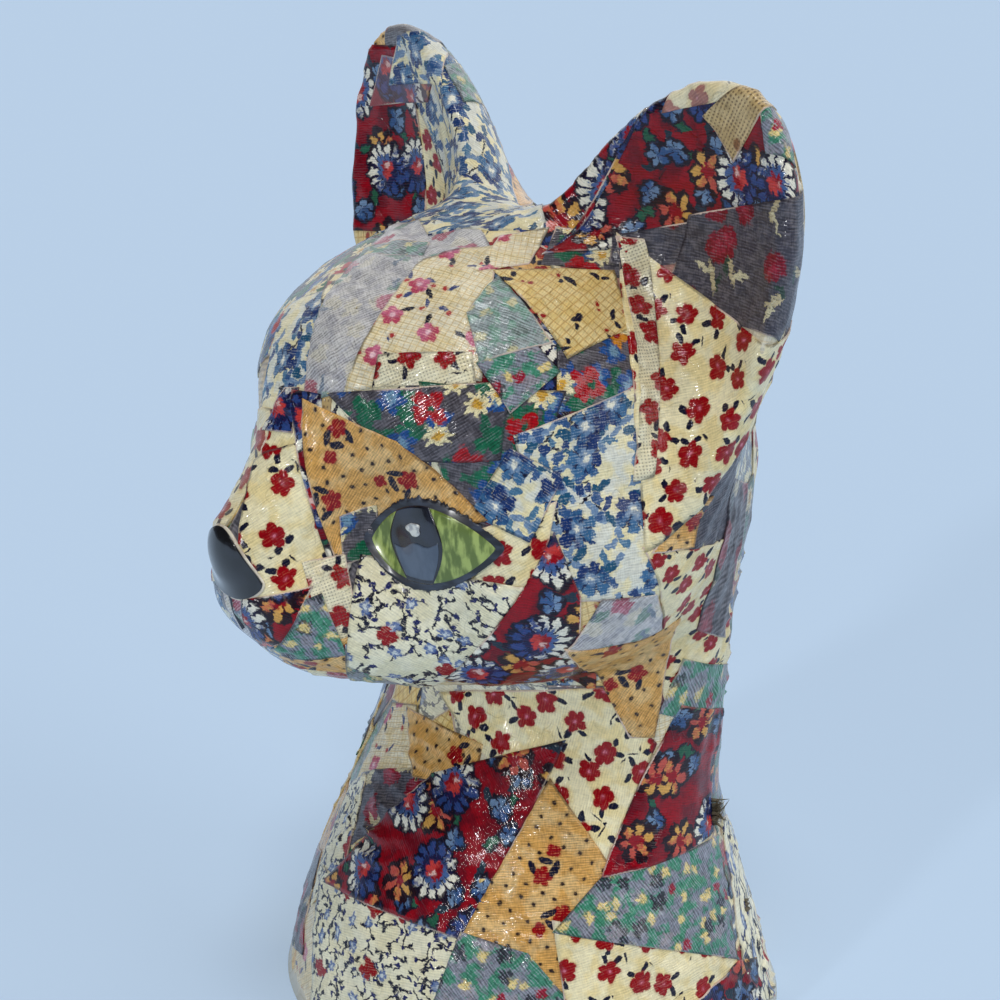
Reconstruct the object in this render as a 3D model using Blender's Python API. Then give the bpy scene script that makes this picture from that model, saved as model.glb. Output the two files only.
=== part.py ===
"""Bust of a cat, slip-cast in ceramic: head, both ears, neck and chest in one piece.

Metres, +Z up. The cat faces -Y and its left side is +X. The origin is the
middle of the flat underside, which is also the middle of the bust's box.

The casting has one flowing outline: named masses (skull, brow, cheeks, jaw, nose
bridge, muzzle, lip pads, chin, eyes, a turned trunk and two dished ears) run
together with soft fillets, each of its own width. distance() measures how far a
point lies outside that outline. No primitive or modifier makes such a form, so a
net of square cells is wrapped around the outline, where the distance changes
sign. The net is drawn tight, thinned out and cut flat below.
"""

import math
from collections import namedtuple

import bmesh
import bpy
import numpy as np
from mathutils import Vector

Ball = namedtuple("Ball", "centre radii")
Rod = namedtuple("Rod", "start end start_radius end_radius")
Station = namedtuple("Station", "height half_width front back")
Ear = namedtuple("Ear", "tip height half_width depth dish lip turn_out lean_back splay")

# The form's own zero, on the neck's axis, from the middle of the flat underside.
ZERO = (0.0, 0.0045, 0.0040)

# Head. Centres are measured from the form's zero.
SKULL = Ball(centre=(0.0, 0.0020, 0.1003), radii=(0.0376, 0.0371, 0.0301))
SKULL_PITCH = math.radians(-16.5)
BROW = Ball(centre=(0.0, -0.0150, 0.1070), radii=(0.0310, 0.0250, 0.0180))
CHEEK = Ball(centre=(0.0206, -0.0065, 0.0825), radii=(0.0205, 0.0245, 0.0180))
JAW = Ball(centre=(0.0090, -0.0182, 0.0750), radii=(0.0180, 0.0225, 0.0130))
BRIDGE = Rod(start=(0.0, -0.0255, 0.1060), end=(0.0, -0.0485, 0.0880),
             start_radius=0.0130, end_radius=0.0065)
MUZZLE = Ball(centre=(0.0, -0.0344, 0.0775), radii=(0.0146, 0.0171, 0.0116))
EYE = Ball(centre=(0.0210, -0.0225, 0.0920), radii=(0.0100, 0.0100, 0.0090))
LIP_PAD = Ball(centre=(0.0060, -0.0430, 0.0785), radii=(0.0080, 0.0090, 0.0080))
CHIN = Ball(centre=(0.0, -0.0355, 0.0704), radii=(0.0090, 0.0090, 0.0060))

# Ear: half an egg that opens forwards and outwards, with a shallow dish.
EAR = Ear(tip=(0.0443, 0.0081, 0.1546), height=0.0461, half_width=0.0229, depth=0.0169,
          dish=0.0075, lip=0.0015, turn_out=math.radians(8.7),
          lean_back=math.radians(6.0), splay=math.radians(25.2))

# Neck and chest: stations of an oval trunk, from below the cut to inside the skull.
TRUNK = (
    Station(-0.0120, 0.0475, -0.0385, 0.0480),
    Station(0.0160, 0.0396, -0.0320, 0.0395),
    Station(0.0340, 0.0339, -0.0238, 0.0349),
    Station(0.0500, 0.0329, -0.0158, 0.0342),
    Station(0.0640, 0.0342, -0.0114, 0.0328),
    Station(0.0780, 0.0341, -0.0082, 0.0337),
    Station(0.0940, 0.0310, -0.0060, 0.0351),
    Station(0.1120, 0.0200, 0.0020, 0.0200),
)

# Fillets between one mass and the rest of the form.
BROW_FILLET = 0.014
CHEEK_FILLET = 0.018
JAW_FILLET = 0.014
BRIDGE_FILLET = 0.016
MUZZLE_FILLET = 0.014
EYE_FILLET = 0.010
PAD_FILLET = 0.005
CHIN_FILLET = 0.007
NECK_FILLET = 0.0105
EAR_FILLET = 0.015
EAR_RIM_ROUND = 0.0045
MIDLINE_ROUND = 0.002

# How the skin is made: a lattice around the form, and the net drawn on to it.
LATTICE_LOW = (-0.0580, -0.0580, -0.0060)
LATTICE_HIGH = (0.0580, 0.0580, 0.1640)
LATTICE_STEP = 0.0011
SETTLE_STEPS = 8
SETTLE_REACH = 0.001
PROBE = 0.0003
TRIANGLES = 8800

GLAZE_COLOUR = (0.80, 0.74, 0.60, 1.0)
GLAZE_ROUGHNESS = 0.12


def fillet_union(first, second, fillet):
    """The nearer of two distances, run together by a cubic over the fillet's width."""
    overlap = np.maximum(fillet - np.abs(first - second), 0.0) / fillet
    return np.minimum(first, second) - overlap**3 * fillet / 6.0


def ball_distance(points, ball, pitch=0.0):
    """About how far points lie outside an oval ball, turned about X by its pitch."""
    local = points - np.array(ball.centre)
    if pitch:
        cos, sin = math.cos(pitch), math.sin(pitch)
        local = np.stack(
            [
                local[:, 0],
                local[:, 1] * cos + local[:, 2] * sin,
                local[:, 2] * cos - local[:, 1] * sin,
            ],
            axis=-1,
        )
    return oval_distance(local, ball.radii)


def oval_distance(local, radii):
    """Scaled radius less one, times the local size of the oval."""
    radii = np.array(radii)
    scaled = np.linalg.norm(local / radii, axis=-1)
    slope = np.linalg.norm(local / radii**2, axis=-1) + 1e-9
    return scaled * (scaled - 1.0) / slope


def rod_distance(points, rod):
    """How far points lie outside a rod that tapers from end to end."""
    start, end = np.array(rod.start), np.array(rod.end)
    along = end - start
    share = np.clip((points - start) @ along / (along @ along), 0.0, 1.0)
    radius = rod.start_radius + (rod.end_radius - rod.start_radius) * share
    return np.linalg.norm(points - start - share[:, None] * along, axis=-1) - radius


def at_height(height, column):
    """A column of the trunk's stations at a height: a smooth cubic through them."""
    heights = np.array([station.height for station in TRUNK])
    values = np.array([getattr(station, column) for station in TRUNK])
    slopes = np.gradient(values, heights)
    height = np.clip(height, heights[0], heights[-1])
    low = np.clip(np.searchsorted(heights, height, side="right") - 1, 0, len(TRUNK) - 2)
    step = heights[low + 1] - heights[low]
    t = (height - heights[low]) / step
    return (
        (2 * t**3 - 3 * t**2 + 1) * values[low]
        + (t**3 - 2 * t**2 + t) * step * slopes[low]
        + (3 * t**2 - 2 * t**3) * values[low + 1]
        + (t**3 - t**2) * step * slopes[low + 1]
    )


def trunk_distance(points):
    """About how far points lie outside the oval trunk, which ends inside the skull."""
    half_width = at_height(points[:, 2], "half_width")
    front = at_height(points[:, 2], "front")
    back = at_height(points[:, 2], "back")
    across = np.stack([points[:, 0], points[:, 1] - (front + back) / 2], axis=-1)
    radii = np.stack([half_width, (back - front) / 2], axis=-1)
    scaled = np.linalg.norm(across / radii, axis=-1)
    slope = np.linalg.norm(across / radii**2, axis=-1) + 1e-9
    return np.maximum(scaled * (scaled - 1.0) / slope, points[:, 2] - TRUNK[-1].height)


def ear_axes():
    """Unit vectors of the left ear: across it, out of its mouth, and up to its tip."""
    cos_back = math.cos(EAR.lean_back)
    mouth = Vector((
        math.sin(EAR.turn_out) * cos_back,
        -math.cos(EAR.turn_out) * cos_back,
        math.sin(EAR.lean_back),
    ))
    upright = (Vector((0, 0, 1)) - mouth * mouth.z).normalized()
    sideways = mouth.cross(upright) * -1.0
    up = upright * math.cos(EAR.splay) + sideways * math.sin(EAR.splay)
    across = sideways * math.cos(EAR.splay) - upright * math.sin(EAR.splay)
    return across, mouth, up


def ear_centre():
    """Middle of the egg that the left ear is half of."""
    return Vector(EAR.tip) - ear_axes()[2] * EAR.height


def ear_distance(points):
    """About how far points lie outside the left ear: an egg cut off by its dished mouth."""
    across, mouth, up = (np.array(axis) for axis in ear_axes())
    local = points - np.array(ear_centre())
    side, out, rise = local @ across, local @ mouth, local @ up
    egg = oval_distance(
        np.stack([side, out, rise], axis=-1), (EAR.half_width, EAR.depth, EAR.height)
    )
    hollow = np.clip(1.0 - (side / EAR.half_width) ** 2 - (rise / EAR.height) ** 2, 0.0, 1.0)
    dish = out - EAR.lip + EAR.dish * hollow
    return -fillet_union(-egg, -0.9 * dish, EAR_RIM_ROUND)


def distance(points):
    """About how far points lie outside the whole form, which is the same left and right."""
    body = points - np.array(ZERO)
    half = body.copy()
    half[:, 0] = np.sqrt(body[:, 0] ** 2 + MIDLINE_ROUND**2)
    form = ball_distance(body, SKULL, SKULL_PITCH)
    form = fillet_union(form, ball_distance(body, BROW), BROW_FILLET)
    form = fillet_union(form, ball_distance(half, CHEEK), CHEEK_FILLET)
    form = fillet_union(form, ball_distance(half, JAW), JAW_FILLET)
    form = fillet_union(form, rod_distance(body, BRIDGE), BRIDGE_FILLET)
    form = fillet_union(form, ball_distance(body, MUZZLE), MUZZLE_FILLET)
    form = fillet_union(form, ball_distance(half, EYE), EYE_FILLET)
    form = fillet_union(form, ball_distance(half, LIP_PAD), PAD_FILLET)
    form = fillet_union(form, ball_distance(body, CHIN), CHIN_FILLET)
    form = fillet_union(form, trunk_distance(body), NECK_FILLET)
    return fillet_union(form, ear_distance(half), EAR_FILLET)


def slope(points):
    """The direction and rate at which the distance grows, by central differences."""
    columns = []
    for axis in range(3):
        offset = np.zeros(3)
        offset[axis] = PROBE
        columns.append((distance(points + offset) - distance(points - offset)) / (2 * PROBE))
    return np.stack(columns, axis=-1)


def settle(points):
    """Moves points along the slope until they lie on the form."""
    for _ in range(SETTLE_STEPS):
        grade = slope(points)
        steep = np.maximum((grade**2).sum(axis=-1), 0.05)
        step = np.clip(distance(points), -SETTLE_REACH, SETTLE_REACH) / steep
        points = points - grade * step[:, None]
    return points


def lattice():
    """The lattice's points and the distance at each, as two grids."""
    axes = [
        np.arange(low, high, LATTICE_STEP) for low, high in zip(LATTICE_LOW, LATTICE_HIGH)
    ]
    points = np.stack(np.meshgrid(*axes, indexing="ij"), axis=-1)
    return points, distance(points.reshape(-1, 3)).reshape(points.shape[:3])


def crossings(points, away):
    """Where the outline cuts each lattice edge, one pair of grids for each direction.

    An edge whose ends have distances a and b of unlike sign is cut at a / (a - b)
    of its length from the first end.
    """
    found = []
    for axis in range(3):
        count = away.shape[axis]
        first = away.take(range(count - 1), axis)
        second = away.take(range(1, count), axis)
        cuts = (first < 0) != (second < 0)
        share = np.where(cuts, first / np.where(cuts, first - second, 1.0), 0.0)
        places = points.take(range(count - 1), axis).copy()
        places[..., axis] += share * LATTICE_STEP
        found.append((cuts, places))
    return found


def cell_middles(found, shape):
    """The mean of the cuts on each cell's twelve edges, and how many there are."""
    total, count = np.zeros((*shape, 3)), np.zeros(shape)
    for axis, (cuts, places) in enumerate(found):
        first, second = [other for other in range(3) if other != axis]
        for near in (0, 1):
            for far in (0, 1):
                part = [slice(None)] * 3
                part[first] = slice(near, near + shape[first])
                part[second] = slice(far, far + shape[second])
                part = tuple(part)
                total += np.where(cuts[part][..., None], places[part], 0.0)
                count += cuts[part]
    return total, count


def net_faces(found, away, number):
    """One square for each cut edge, joining the four cells around it, facing outward."""
    faces = []
    for axis, (cuts, _) in enumerate(found):
        first, second = (axis + 1) % 3, (axis + 2) % 3
        edges = np.argwhere(cuts)
        inner = (edges[:, first] > 0) & (edges[:, second] > 0)
        inner &= edges[:, first] < number.shape[first]
        inner &= edges[:, second] < number.shape[second]
        edges = edges[inner]
        ring = []
        for near, far in ((1, 1), (0, 1), (0, 0), (1, 0)):
            cell = edges.copy()
            cell[:, first] -= near
            cell[:, second] -= far
            ring.append(number[tuple(cell.T)])
        ring = np.stack(ring, axis=-1)
        inward = away[tuple(edges.T)] >= 0
        ring[inward] = ring[inward][:, ::-1]
        faces.append(ring)
    return np.concatenate(faces)


def wrapped_bust():
    """The form as one closed skin of small squares, open only below the cut."""
    points, away = lattice()
    found = crossings(points, away)
    shape = tuple(count - 1 for count in away.shape)
    total, count = cell_middles(found, shape)
    used = count > 0
    number = np.full(shape, -1)
    number[used] = np.arange(used.sum())
    verts = settle(total[used] / count[used][:, None])
    data = bpy.data.meshes.new("ceramic_cat_bust")
    data.from_pydata(verts.tolist(), [], net_faces(found, away, number).tolist())
    return bpy.data.objects.new("ceramic_cat_bust", data)


def apply_modifiers(bust):
    """Turns what the modifiers show into the object's own mesh."""
    depsgraph = bpy.context.evaluated_depsgraph_get()
    shown = bpy.data.meshes.new_from_object(bust.evaluated_get(depsgraph))
    bust.modifiers.clear()
    bust.data = shown


def thin_out(bust):
    """Collapses the skin's faces down to the wanted number of triangles."""
    triangles = sum(len(face.vertices) - 2 for face in bust.data.polygons)
    thin = bust.modifiers.new("thin_out", "DECIMATE")
    thin.ratio = TRIANGLES / triangles
    apply_modifiers(bust)


def cut_flat(bust):
    """Cuts the bust off at its underside and closes the cut with one flat face."""
    mesh = bmesh.new()
    mesh.from_mesh(bust.data)
    everything = mesh.verts[:] + mesh.edges[:] + mesh.faces[:]
    cut = bmesh.ops.bisect_plane(
        mesh, geom=everything, plane_co=(0, 0, 0), plane_no=(0, 0, 1), clear_inner=True
    )
    rim = [part for part in cut["geom_cut"] if isinstance(part, bmesh.types.BMEdge)]
    bmesh.ops.contextual_create(mesh, geom=rim)
    bmesh.ops.recalc_face_normals(mesh, faces=mesh.faces[:])
    bmesh.ops.triangulate(mesh, faces=mesh.faces[:])
    mesh.to_mesh(bust.data)
    mesh.free()


def glaze():
    """The casting's cream glaze."""
    material = bpy.data.materials.new("cream_glaze")
    material.use_nodes = True
    shader = material.node_tree.nodes["Principled BSDF"]
    shader.inputs["Base Color"].default_value = GLAZE_COLOUR
    shader.inputs["Roughness"].default_value = GLAZE_ROUGHNESS
    shader.inputs["Metallic"].default_value = 0.0
    return material


def main():
    """Clears the scene and makes the bust."""
    for obj in list(bpy.data.objects):
        bpy.data.objects.remove(obj)
    figurine = bpy.data.collections.new("cat_bust")
    bpy.context.scene.collection.children.link(figurine)
    bust = wrapped_bust()
    figurine.objects.link(bust)
    thin_out(bust)
    cut_flat(bust)
    bust.data.materials.clear()
    bust.data.materials.append(glaze())
    bust.data.shade_smooth()


main()
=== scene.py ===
"""A cat's bust in slip-cast ceramic, covered in glued and varnished scraps of cotton.

Metres, +Z up. The cat faces -Y and its left side is +X. The casting's outline is one
form: named masses run together with soft fillets. Every scrap is cut flat, as a
four-cornered piece of cloth, and walked out over that form from its middle, so its
print keeps its size. Scraps are laid one on another from the first to the last, and
each is lifted by the cloth that it covers. The eyes and the nose are painted on last.
"""

import logging
import math
from dataclasses import dataclass, field
from enum import Enum

import bmesh
import bpy
import numpy as np
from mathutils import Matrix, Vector


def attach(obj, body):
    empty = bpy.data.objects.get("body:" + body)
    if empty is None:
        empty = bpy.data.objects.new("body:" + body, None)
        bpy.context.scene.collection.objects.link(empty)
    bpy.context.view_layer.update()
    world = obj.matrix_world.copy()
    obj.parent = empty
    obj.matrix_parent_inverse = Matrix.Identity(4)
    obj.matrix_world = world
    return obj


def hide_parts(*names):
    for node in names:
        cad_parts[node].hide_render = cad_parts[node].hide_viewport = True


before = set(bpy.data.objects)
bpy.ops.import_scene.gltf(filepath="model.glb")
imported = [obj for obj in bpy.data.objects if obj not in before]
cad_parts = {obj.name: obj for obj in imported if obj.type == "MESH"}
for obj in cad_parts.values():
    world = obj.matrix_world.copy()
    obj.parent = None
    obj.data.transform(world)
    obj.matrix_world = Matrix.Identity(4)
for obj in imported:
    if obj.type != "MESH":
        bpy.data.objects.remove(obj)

Array = np.ndarray
Pair = tuple[float, float]
Place = tuple[float, float, float]
Colour = tuple[float, float, float]
Socket = bpy.types.NodeSocket
Feed = Socket | float | tuple[float, ...]

LOG = logging.getLogger("cat_bust")
NODE = "ceramic_cat_bust"
MM = 0.001

# One layer of glued cloth, and the room that the casting leaves for all the layers.
CLOTH_THICKNESS = 0.00017
CLOTH_ROOM = 0.0007


def unit(vectors: Array) -> Array:
    """Gives vectors a length of one."""
    return vectors / np.maximum(np.linalg.norm(vectors, axis=-1, keepdims=True), 1e-12)


def turned(flat: Array, degrees: float) -> Array:
    """Turns flat places to the left about their frame's middle."""
    turn = math.radians(degrees)
    cos, sin = math.cos(turn), math.sin(turn)
    return flat @ np.array([[cos, sin], [-sin, cos]])


def fillet_union(first: Array, second: Array, fillet: float) -> Array:
    """Takes the nearer of two distances, run together by a cubic over the fillet's width."""
    overlap = np.maximum(fillet - np.abs(first - second), 0.0) / fillet
    return np.minimum(first, second) - overlap**3 * fillet / 6.0


def oval_distance(local: Array, radii: Array) -> Array:
    """Finds about how far points lie outside an oval: scaled radius less one, times its size."""
    scaled = np.linalg.norm(local / radii, axis=-1)
    slope = np.linalg.norm(local / radii**2, axis=-1) + 1e-9
    return scaled * (scaled - 1.0) / slope


@dataclass(frozen=True)
class Ball:
    """An oval ball: its middle, half sizes, fillet to the rest and pitch about X."""

    centre: Place
    radii: Place
    fillet: float = 0.0
    pitch: float = 0.0

    def distance(self, points: Array) -> Array:
        """Finds about how far points lie outside the ball, which is turned by its pitch.

        Args:
            points: Places to measure from.

        Returns:
            Distances, less than nothing inside.
        """
        local = points - np.array(self.centre)
        if self.pitch:
            cos, sin = math.cos(self.pitch), math.sin(self.pitch)
            back, up = local[:, 1], local[:, 2]
            local = np.stack([local[:, 0], back * cos + up * sin, up * cos - back * sin], axis=-1)
        return oval_distance(local, np.array(self.radii))


@dataclass(frozen=True)
class Rod:
    """A round rod that tapers from end to end."""

    start: Place
    end: Place
    start_radius: float
    end_radius: float
    fillet: float

    def distance(self, points: Array) -> Array:
        """Finds how far points lie outside: distance to the axis less the radius there.

        Args:
            points: Places to measure from.

        Returns:
            Distances, less than nothing inside.
        """
        start, end = np.array(self.start), np.array(self.end)
        along = end - start
        share = np.clip((points - start) @ along / (along @ along), 0.0, 1.0)
        radius = self.start_radius + (self.end_radius - self.start_radius) * share
        return np.linalg.norm(points - start - share[:, None] * along, axis=-1) - radius


@dataclass(frozen=True)
class Trunk:
    """Neck and chest: an oval whose width, front and back change smoothly with height."""

    heights: tuple[float, ...] = (-0.0120, 0.0160, 0.0340, 0.0500, 0.0640, 0.0780, 0.0940, 0.1120)
    half_widths: tuple[float, ...] = (
        0.0475, 0.0396, 0.0339, 0.0329, 0.0342, 0.0341, 0.0310, 0.0200)
    fronts: tuple[float, ...] = (
        -0.0385, -0.0320, -0.0238, -0.0158, -0.0114, -0.0082, -0.0060, 0.0020)
    backs: tuple[float, ...] = (0.0480, 0.0395, 0.0349, 0.0342, 0.0328, 0.0337, 0.0351, 0.0200)
    fillet: float = 0.0105

    def at_height(self, height: Array, column: tuple[float, ...]) -> Array:
        """Reads a column at a height: a smooth cubic through its values.

        Args:
            height: Heights to read at.
            column: The values at the trunk's own heights.

        Returns:
            The column's value at each height.
        """
        heights, values = np.array(self.heights), np.array(column)
        slopes = np.gradient(values, heights)
        height = np.clip(height, heights[0], heights[-1])
        low = np.clip(np.searchsorted(heights, height, side="right") - 1, 0, len(values) - 2)
        step = heights[low + 1] - heights[low]
        t = (height - heights[low]) / step
        return (
            (2 * t**3 - 3 * t**2 + 1) * values[low]
            + (t**3 - 2 * t**2 + t) * step * slopes[low]
            + (3 * t**2 - 2 * t**3) * values[low + 1]
            + (t**3 - t**2) * step * slopes[low + 1]
        )

    def distance(self, points: Array) -> Array:
        """Finds about how far points lie outside the oval, which ends inside the skull.

        Args:
            points: Places to measure from.

        Returns:
            Distances, less than nothing inside.
        """
        width = self.at_height(points[:, 2], self.half_widths)
        front = self.at_height(points[:, 2], self.fronts)
        back = self.at_height(points[:, 2], self.backs)
        across = np.stack([points[:, 0], points[:, 1] - (front + back) / 2], axis=-1)
        oval = oval_distance(across, np.stack([width, (back - front) / 2], axis=-1))
        return np.maximum(oval, points[:, 2] - self.heights[-1])


@dataclass(frozen=True)
class Ear:
    """Half an egg that opens forwards and outwards, with a shallow dish.

    mouth_rate is how fast the dished mouth's distance grows against the egg's.
    """

    tip: Place = (0.0443, 0.0081, 0.1546)
    height: float = 0.0461
    half_width: float = 0.0229
    depth: float = 0.0169
    dish: float = 0.0075
    lip: float = 0.0015
    turn_out: float = math.radians(8.7)
    lean_back: float = math.radians(6.0)
    splay: float = math.radians(25.2)
    rim_round: float = 0.0045
    mouth_rate: float = 0.9
    fillet: float = 0.015

    def axes(self) -> Array:
        """Gives unit rows across the left ear, out of its mouth and up to its tip."""
        cos_back = math.cos(self.lean_back)
        mouth = np.array([
            math.sin(self.turn_out) * cos_back,
            -math.cos(self.turn_out) * cos_back,
            math.sin(self.lean_back),
        ])
        upright = unit(np.array([0.0, 0.0, 1.0]) - mouth * mouth[2])
        sideways = np.cross(upright, mouth)
        up = upright * math.cos(self.splay) + sideways * math.sin(self.splay)
        across = sideways * math.cos(self.splay) - upright * math.sin(self.splay)
        return np.stack([across, mouth, up])

    def distance(self, points: Array) -> Array:
        """Finds about how far points lie outside: an egg cut off by a dished mouth.

        Args:
            points: Places to measure from.

        Returns:
            Distances, less than nothing inside.
        """
        axes = self.axes()
        local = (points - np.array(self.tip) + axes[2] * self.height) @ axes.T
        egg = oval_distance(local, np.array([self.half_width, self.depth, self.height]))
        side = (local[:, 0] / self.half_width) ** 2
        rise = (local[:, 2] / self.height) ** 2
        hollow = np.clip(1.0 - side - rise, 0.0, 1.0)
        dish = local[:, 1] - self.lip + self.dish * hollow
        return -fillet_union(-egg, -self.mouth_rate * dish, self.rim_round)


@dataclass(frozen=True)
class CatForm:
    """The casting's outline, as a distance that is nothing on its surface.

    The masses are measured from zero. probe is how far apart the distance is felt to find
    its slope, reach the longest step taken on to the form, and least_slope the gentlest
    slope, squared, that a step reckons with.
    """

    zero: Place = (0.0, 0.0045, 0.0040)
    skull: Ball = Ball((0.0, 0.0020, 0.1003), (0.0376, 0.0371, 0.0301), pitch=math.radians(-16.5))
    brow: Ball = Ball((0.0, -0.0150, 0.1070), (0.0310, 0.0250, 0.0180), 0.014)
    cheek: Ball = Ball((0.0206, -0.0065, 0.0825), (0.0205, 0.0245, 0.0180), 0.018)
    jaw: Ball = Ball((0.0090, -0.0182, 0.0750), (0.0180, 0.0225, 0.0130), 0.014)
    bridge: Rod = Rod((0.0, -0.0255, 0.1060), (0.0, -0.0485, 0.0880), 0.0130, 0.0065, 0.016)
    muzzle: Ball = Ball((0.0, -0.0344, 0.0775), (0.0146, 0.0171, 0.0116), 0.014)
    eye: Ball = Ball((0.0210, -0.0225, 0.0920), (0.0100, 0.0100, 0.0090), 0.010)
    lip_pad: Ball = Ball((0.0060, -0.0430, 0.0785), (0.0080, 0.0090, 0.0080), 0.005)
    chin: Ball = Ball((0.0, -0.0355, 0.0704), (0.0090, 0.0090, 0.0060), 0.007)
    trunk: Trunk = Trunk()
    ear: Ear = Ear()
    midline_round: float = 0.002
    probe: float = 0.0003
    reach: float = 0.004
    least_slope: float = 0.05

    def distance(self, points: Array) -> Array:
        """Finds about how far points lie outside the form, the same left and right.

        Args:
            points: Places to measure from.

        Returns:
            Distances, less than nothing inside.
        """
        body = points - np.array(self.zero)
        half = body.copy()
        half[:, 0] = np.sqrt(body[:, 0] ** 2 + self.midline_round**2)
        form = self.skull.distance(body)
        for mass in (self.brow, self.cheek, self.jaw, self.bridge, self.muzzle, self.eye,
                     self.lip_pad, self.chin, self.trunk, self.ear):
            paired = mass in (self.cheek, self.jaw, self.eye, self.lip_pad, self.ear)
            form = fillet_union(form, mass.distance(half if paired else body), mass.fillet)
        return form

    def feel(self, points: Array) -> tuple[Array, Array]:
        """Reads the distance and its slope from the corners of a small tetrahedron.

        Args:
            points: Places to read at.

        Returns:
            The distance at each place, and the direction and rate at which it grows.
        """
        corners = np.array([[1, 1, 1], [1, -1, -1], [-1, 1, -1], [-1, -1, 1]]) * self.probe
        values = np.stack([self.distance(points + corner) for corner in corners], axis=-1)
        return values.mean(axis=-1), values @ corners / (4 * self.probe**2)

    def settle(self, points: Array, rounds: int = 3) -> tuple[Array, Array]:
        """Moves points along the slope on to the form.

        Args:
            points: Places near the form.
            rounds: How often the step is taken.

        Returns:
            The places on the form, and the outward unit normal at each.
        """
        for _ in range(rounds):
            away, slope = self.feel(points)
            steep = np.maximum((slope**2).sum(axis=-1), self.least_slope)
            step = np.clip(away, -self.reach, self.reach) / steep
            points = points - slope * step[:, None]
        return points, unit(slope)

    def walk(self, start: Array, axes: tuple[Array, Array], run: Array, steps: int = 14) -> Array:
        """Walks straight out over the form, as a tape measure would lie.

        At each step the heading is laid back into the surface.

        Args:
            start: Where each walk starts.
            axes: Two unit directions in the surface there.
            run: How far to go along each of the two directions.
            steps: How many steps each walk takes.

        Returns:
            The places reached.
        """
        heading = unit(axes[0] * run[:, :1] + axes[1] * run[:, 1:] + 1e-12)
        pace = np.linalg.norm(run, axis=-1, keepdims=True) / steps
        points = start
        for _ in range(steps):
            points, normal = self.settle(points + heading * pace, 1)
            heading = unit(heading - normal * (heading * normal).sum(axis=-1, keepdims=True))
        return points


# What counts as up the form, before it is laid into the surface: up and a little back.
UPWARD = unit(np.array([0.0, 0.5, 0.87]))


def surface_axes(normals: Array) -> tuple[Array, Array]:
    """Gives directions to the right and up the form at each normal."""
    up = unit(UPWARD - normals * (normals @ UPWARD)[:, None])
    return np.cross(up, normals), up


def dye(red: int, green: int, blue: int) -> Colour:
    """Turns a colour as seen on a card, 0 to 255, into the light that it gives back."""
    card = np.array([red, green, blue]) / 255
    light = np.where(card <= 0.04045, card / 12.92, ((card + 0.055) / 1.055) ** 2.4)
    return tuple(float(part) for part in light)


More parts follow.
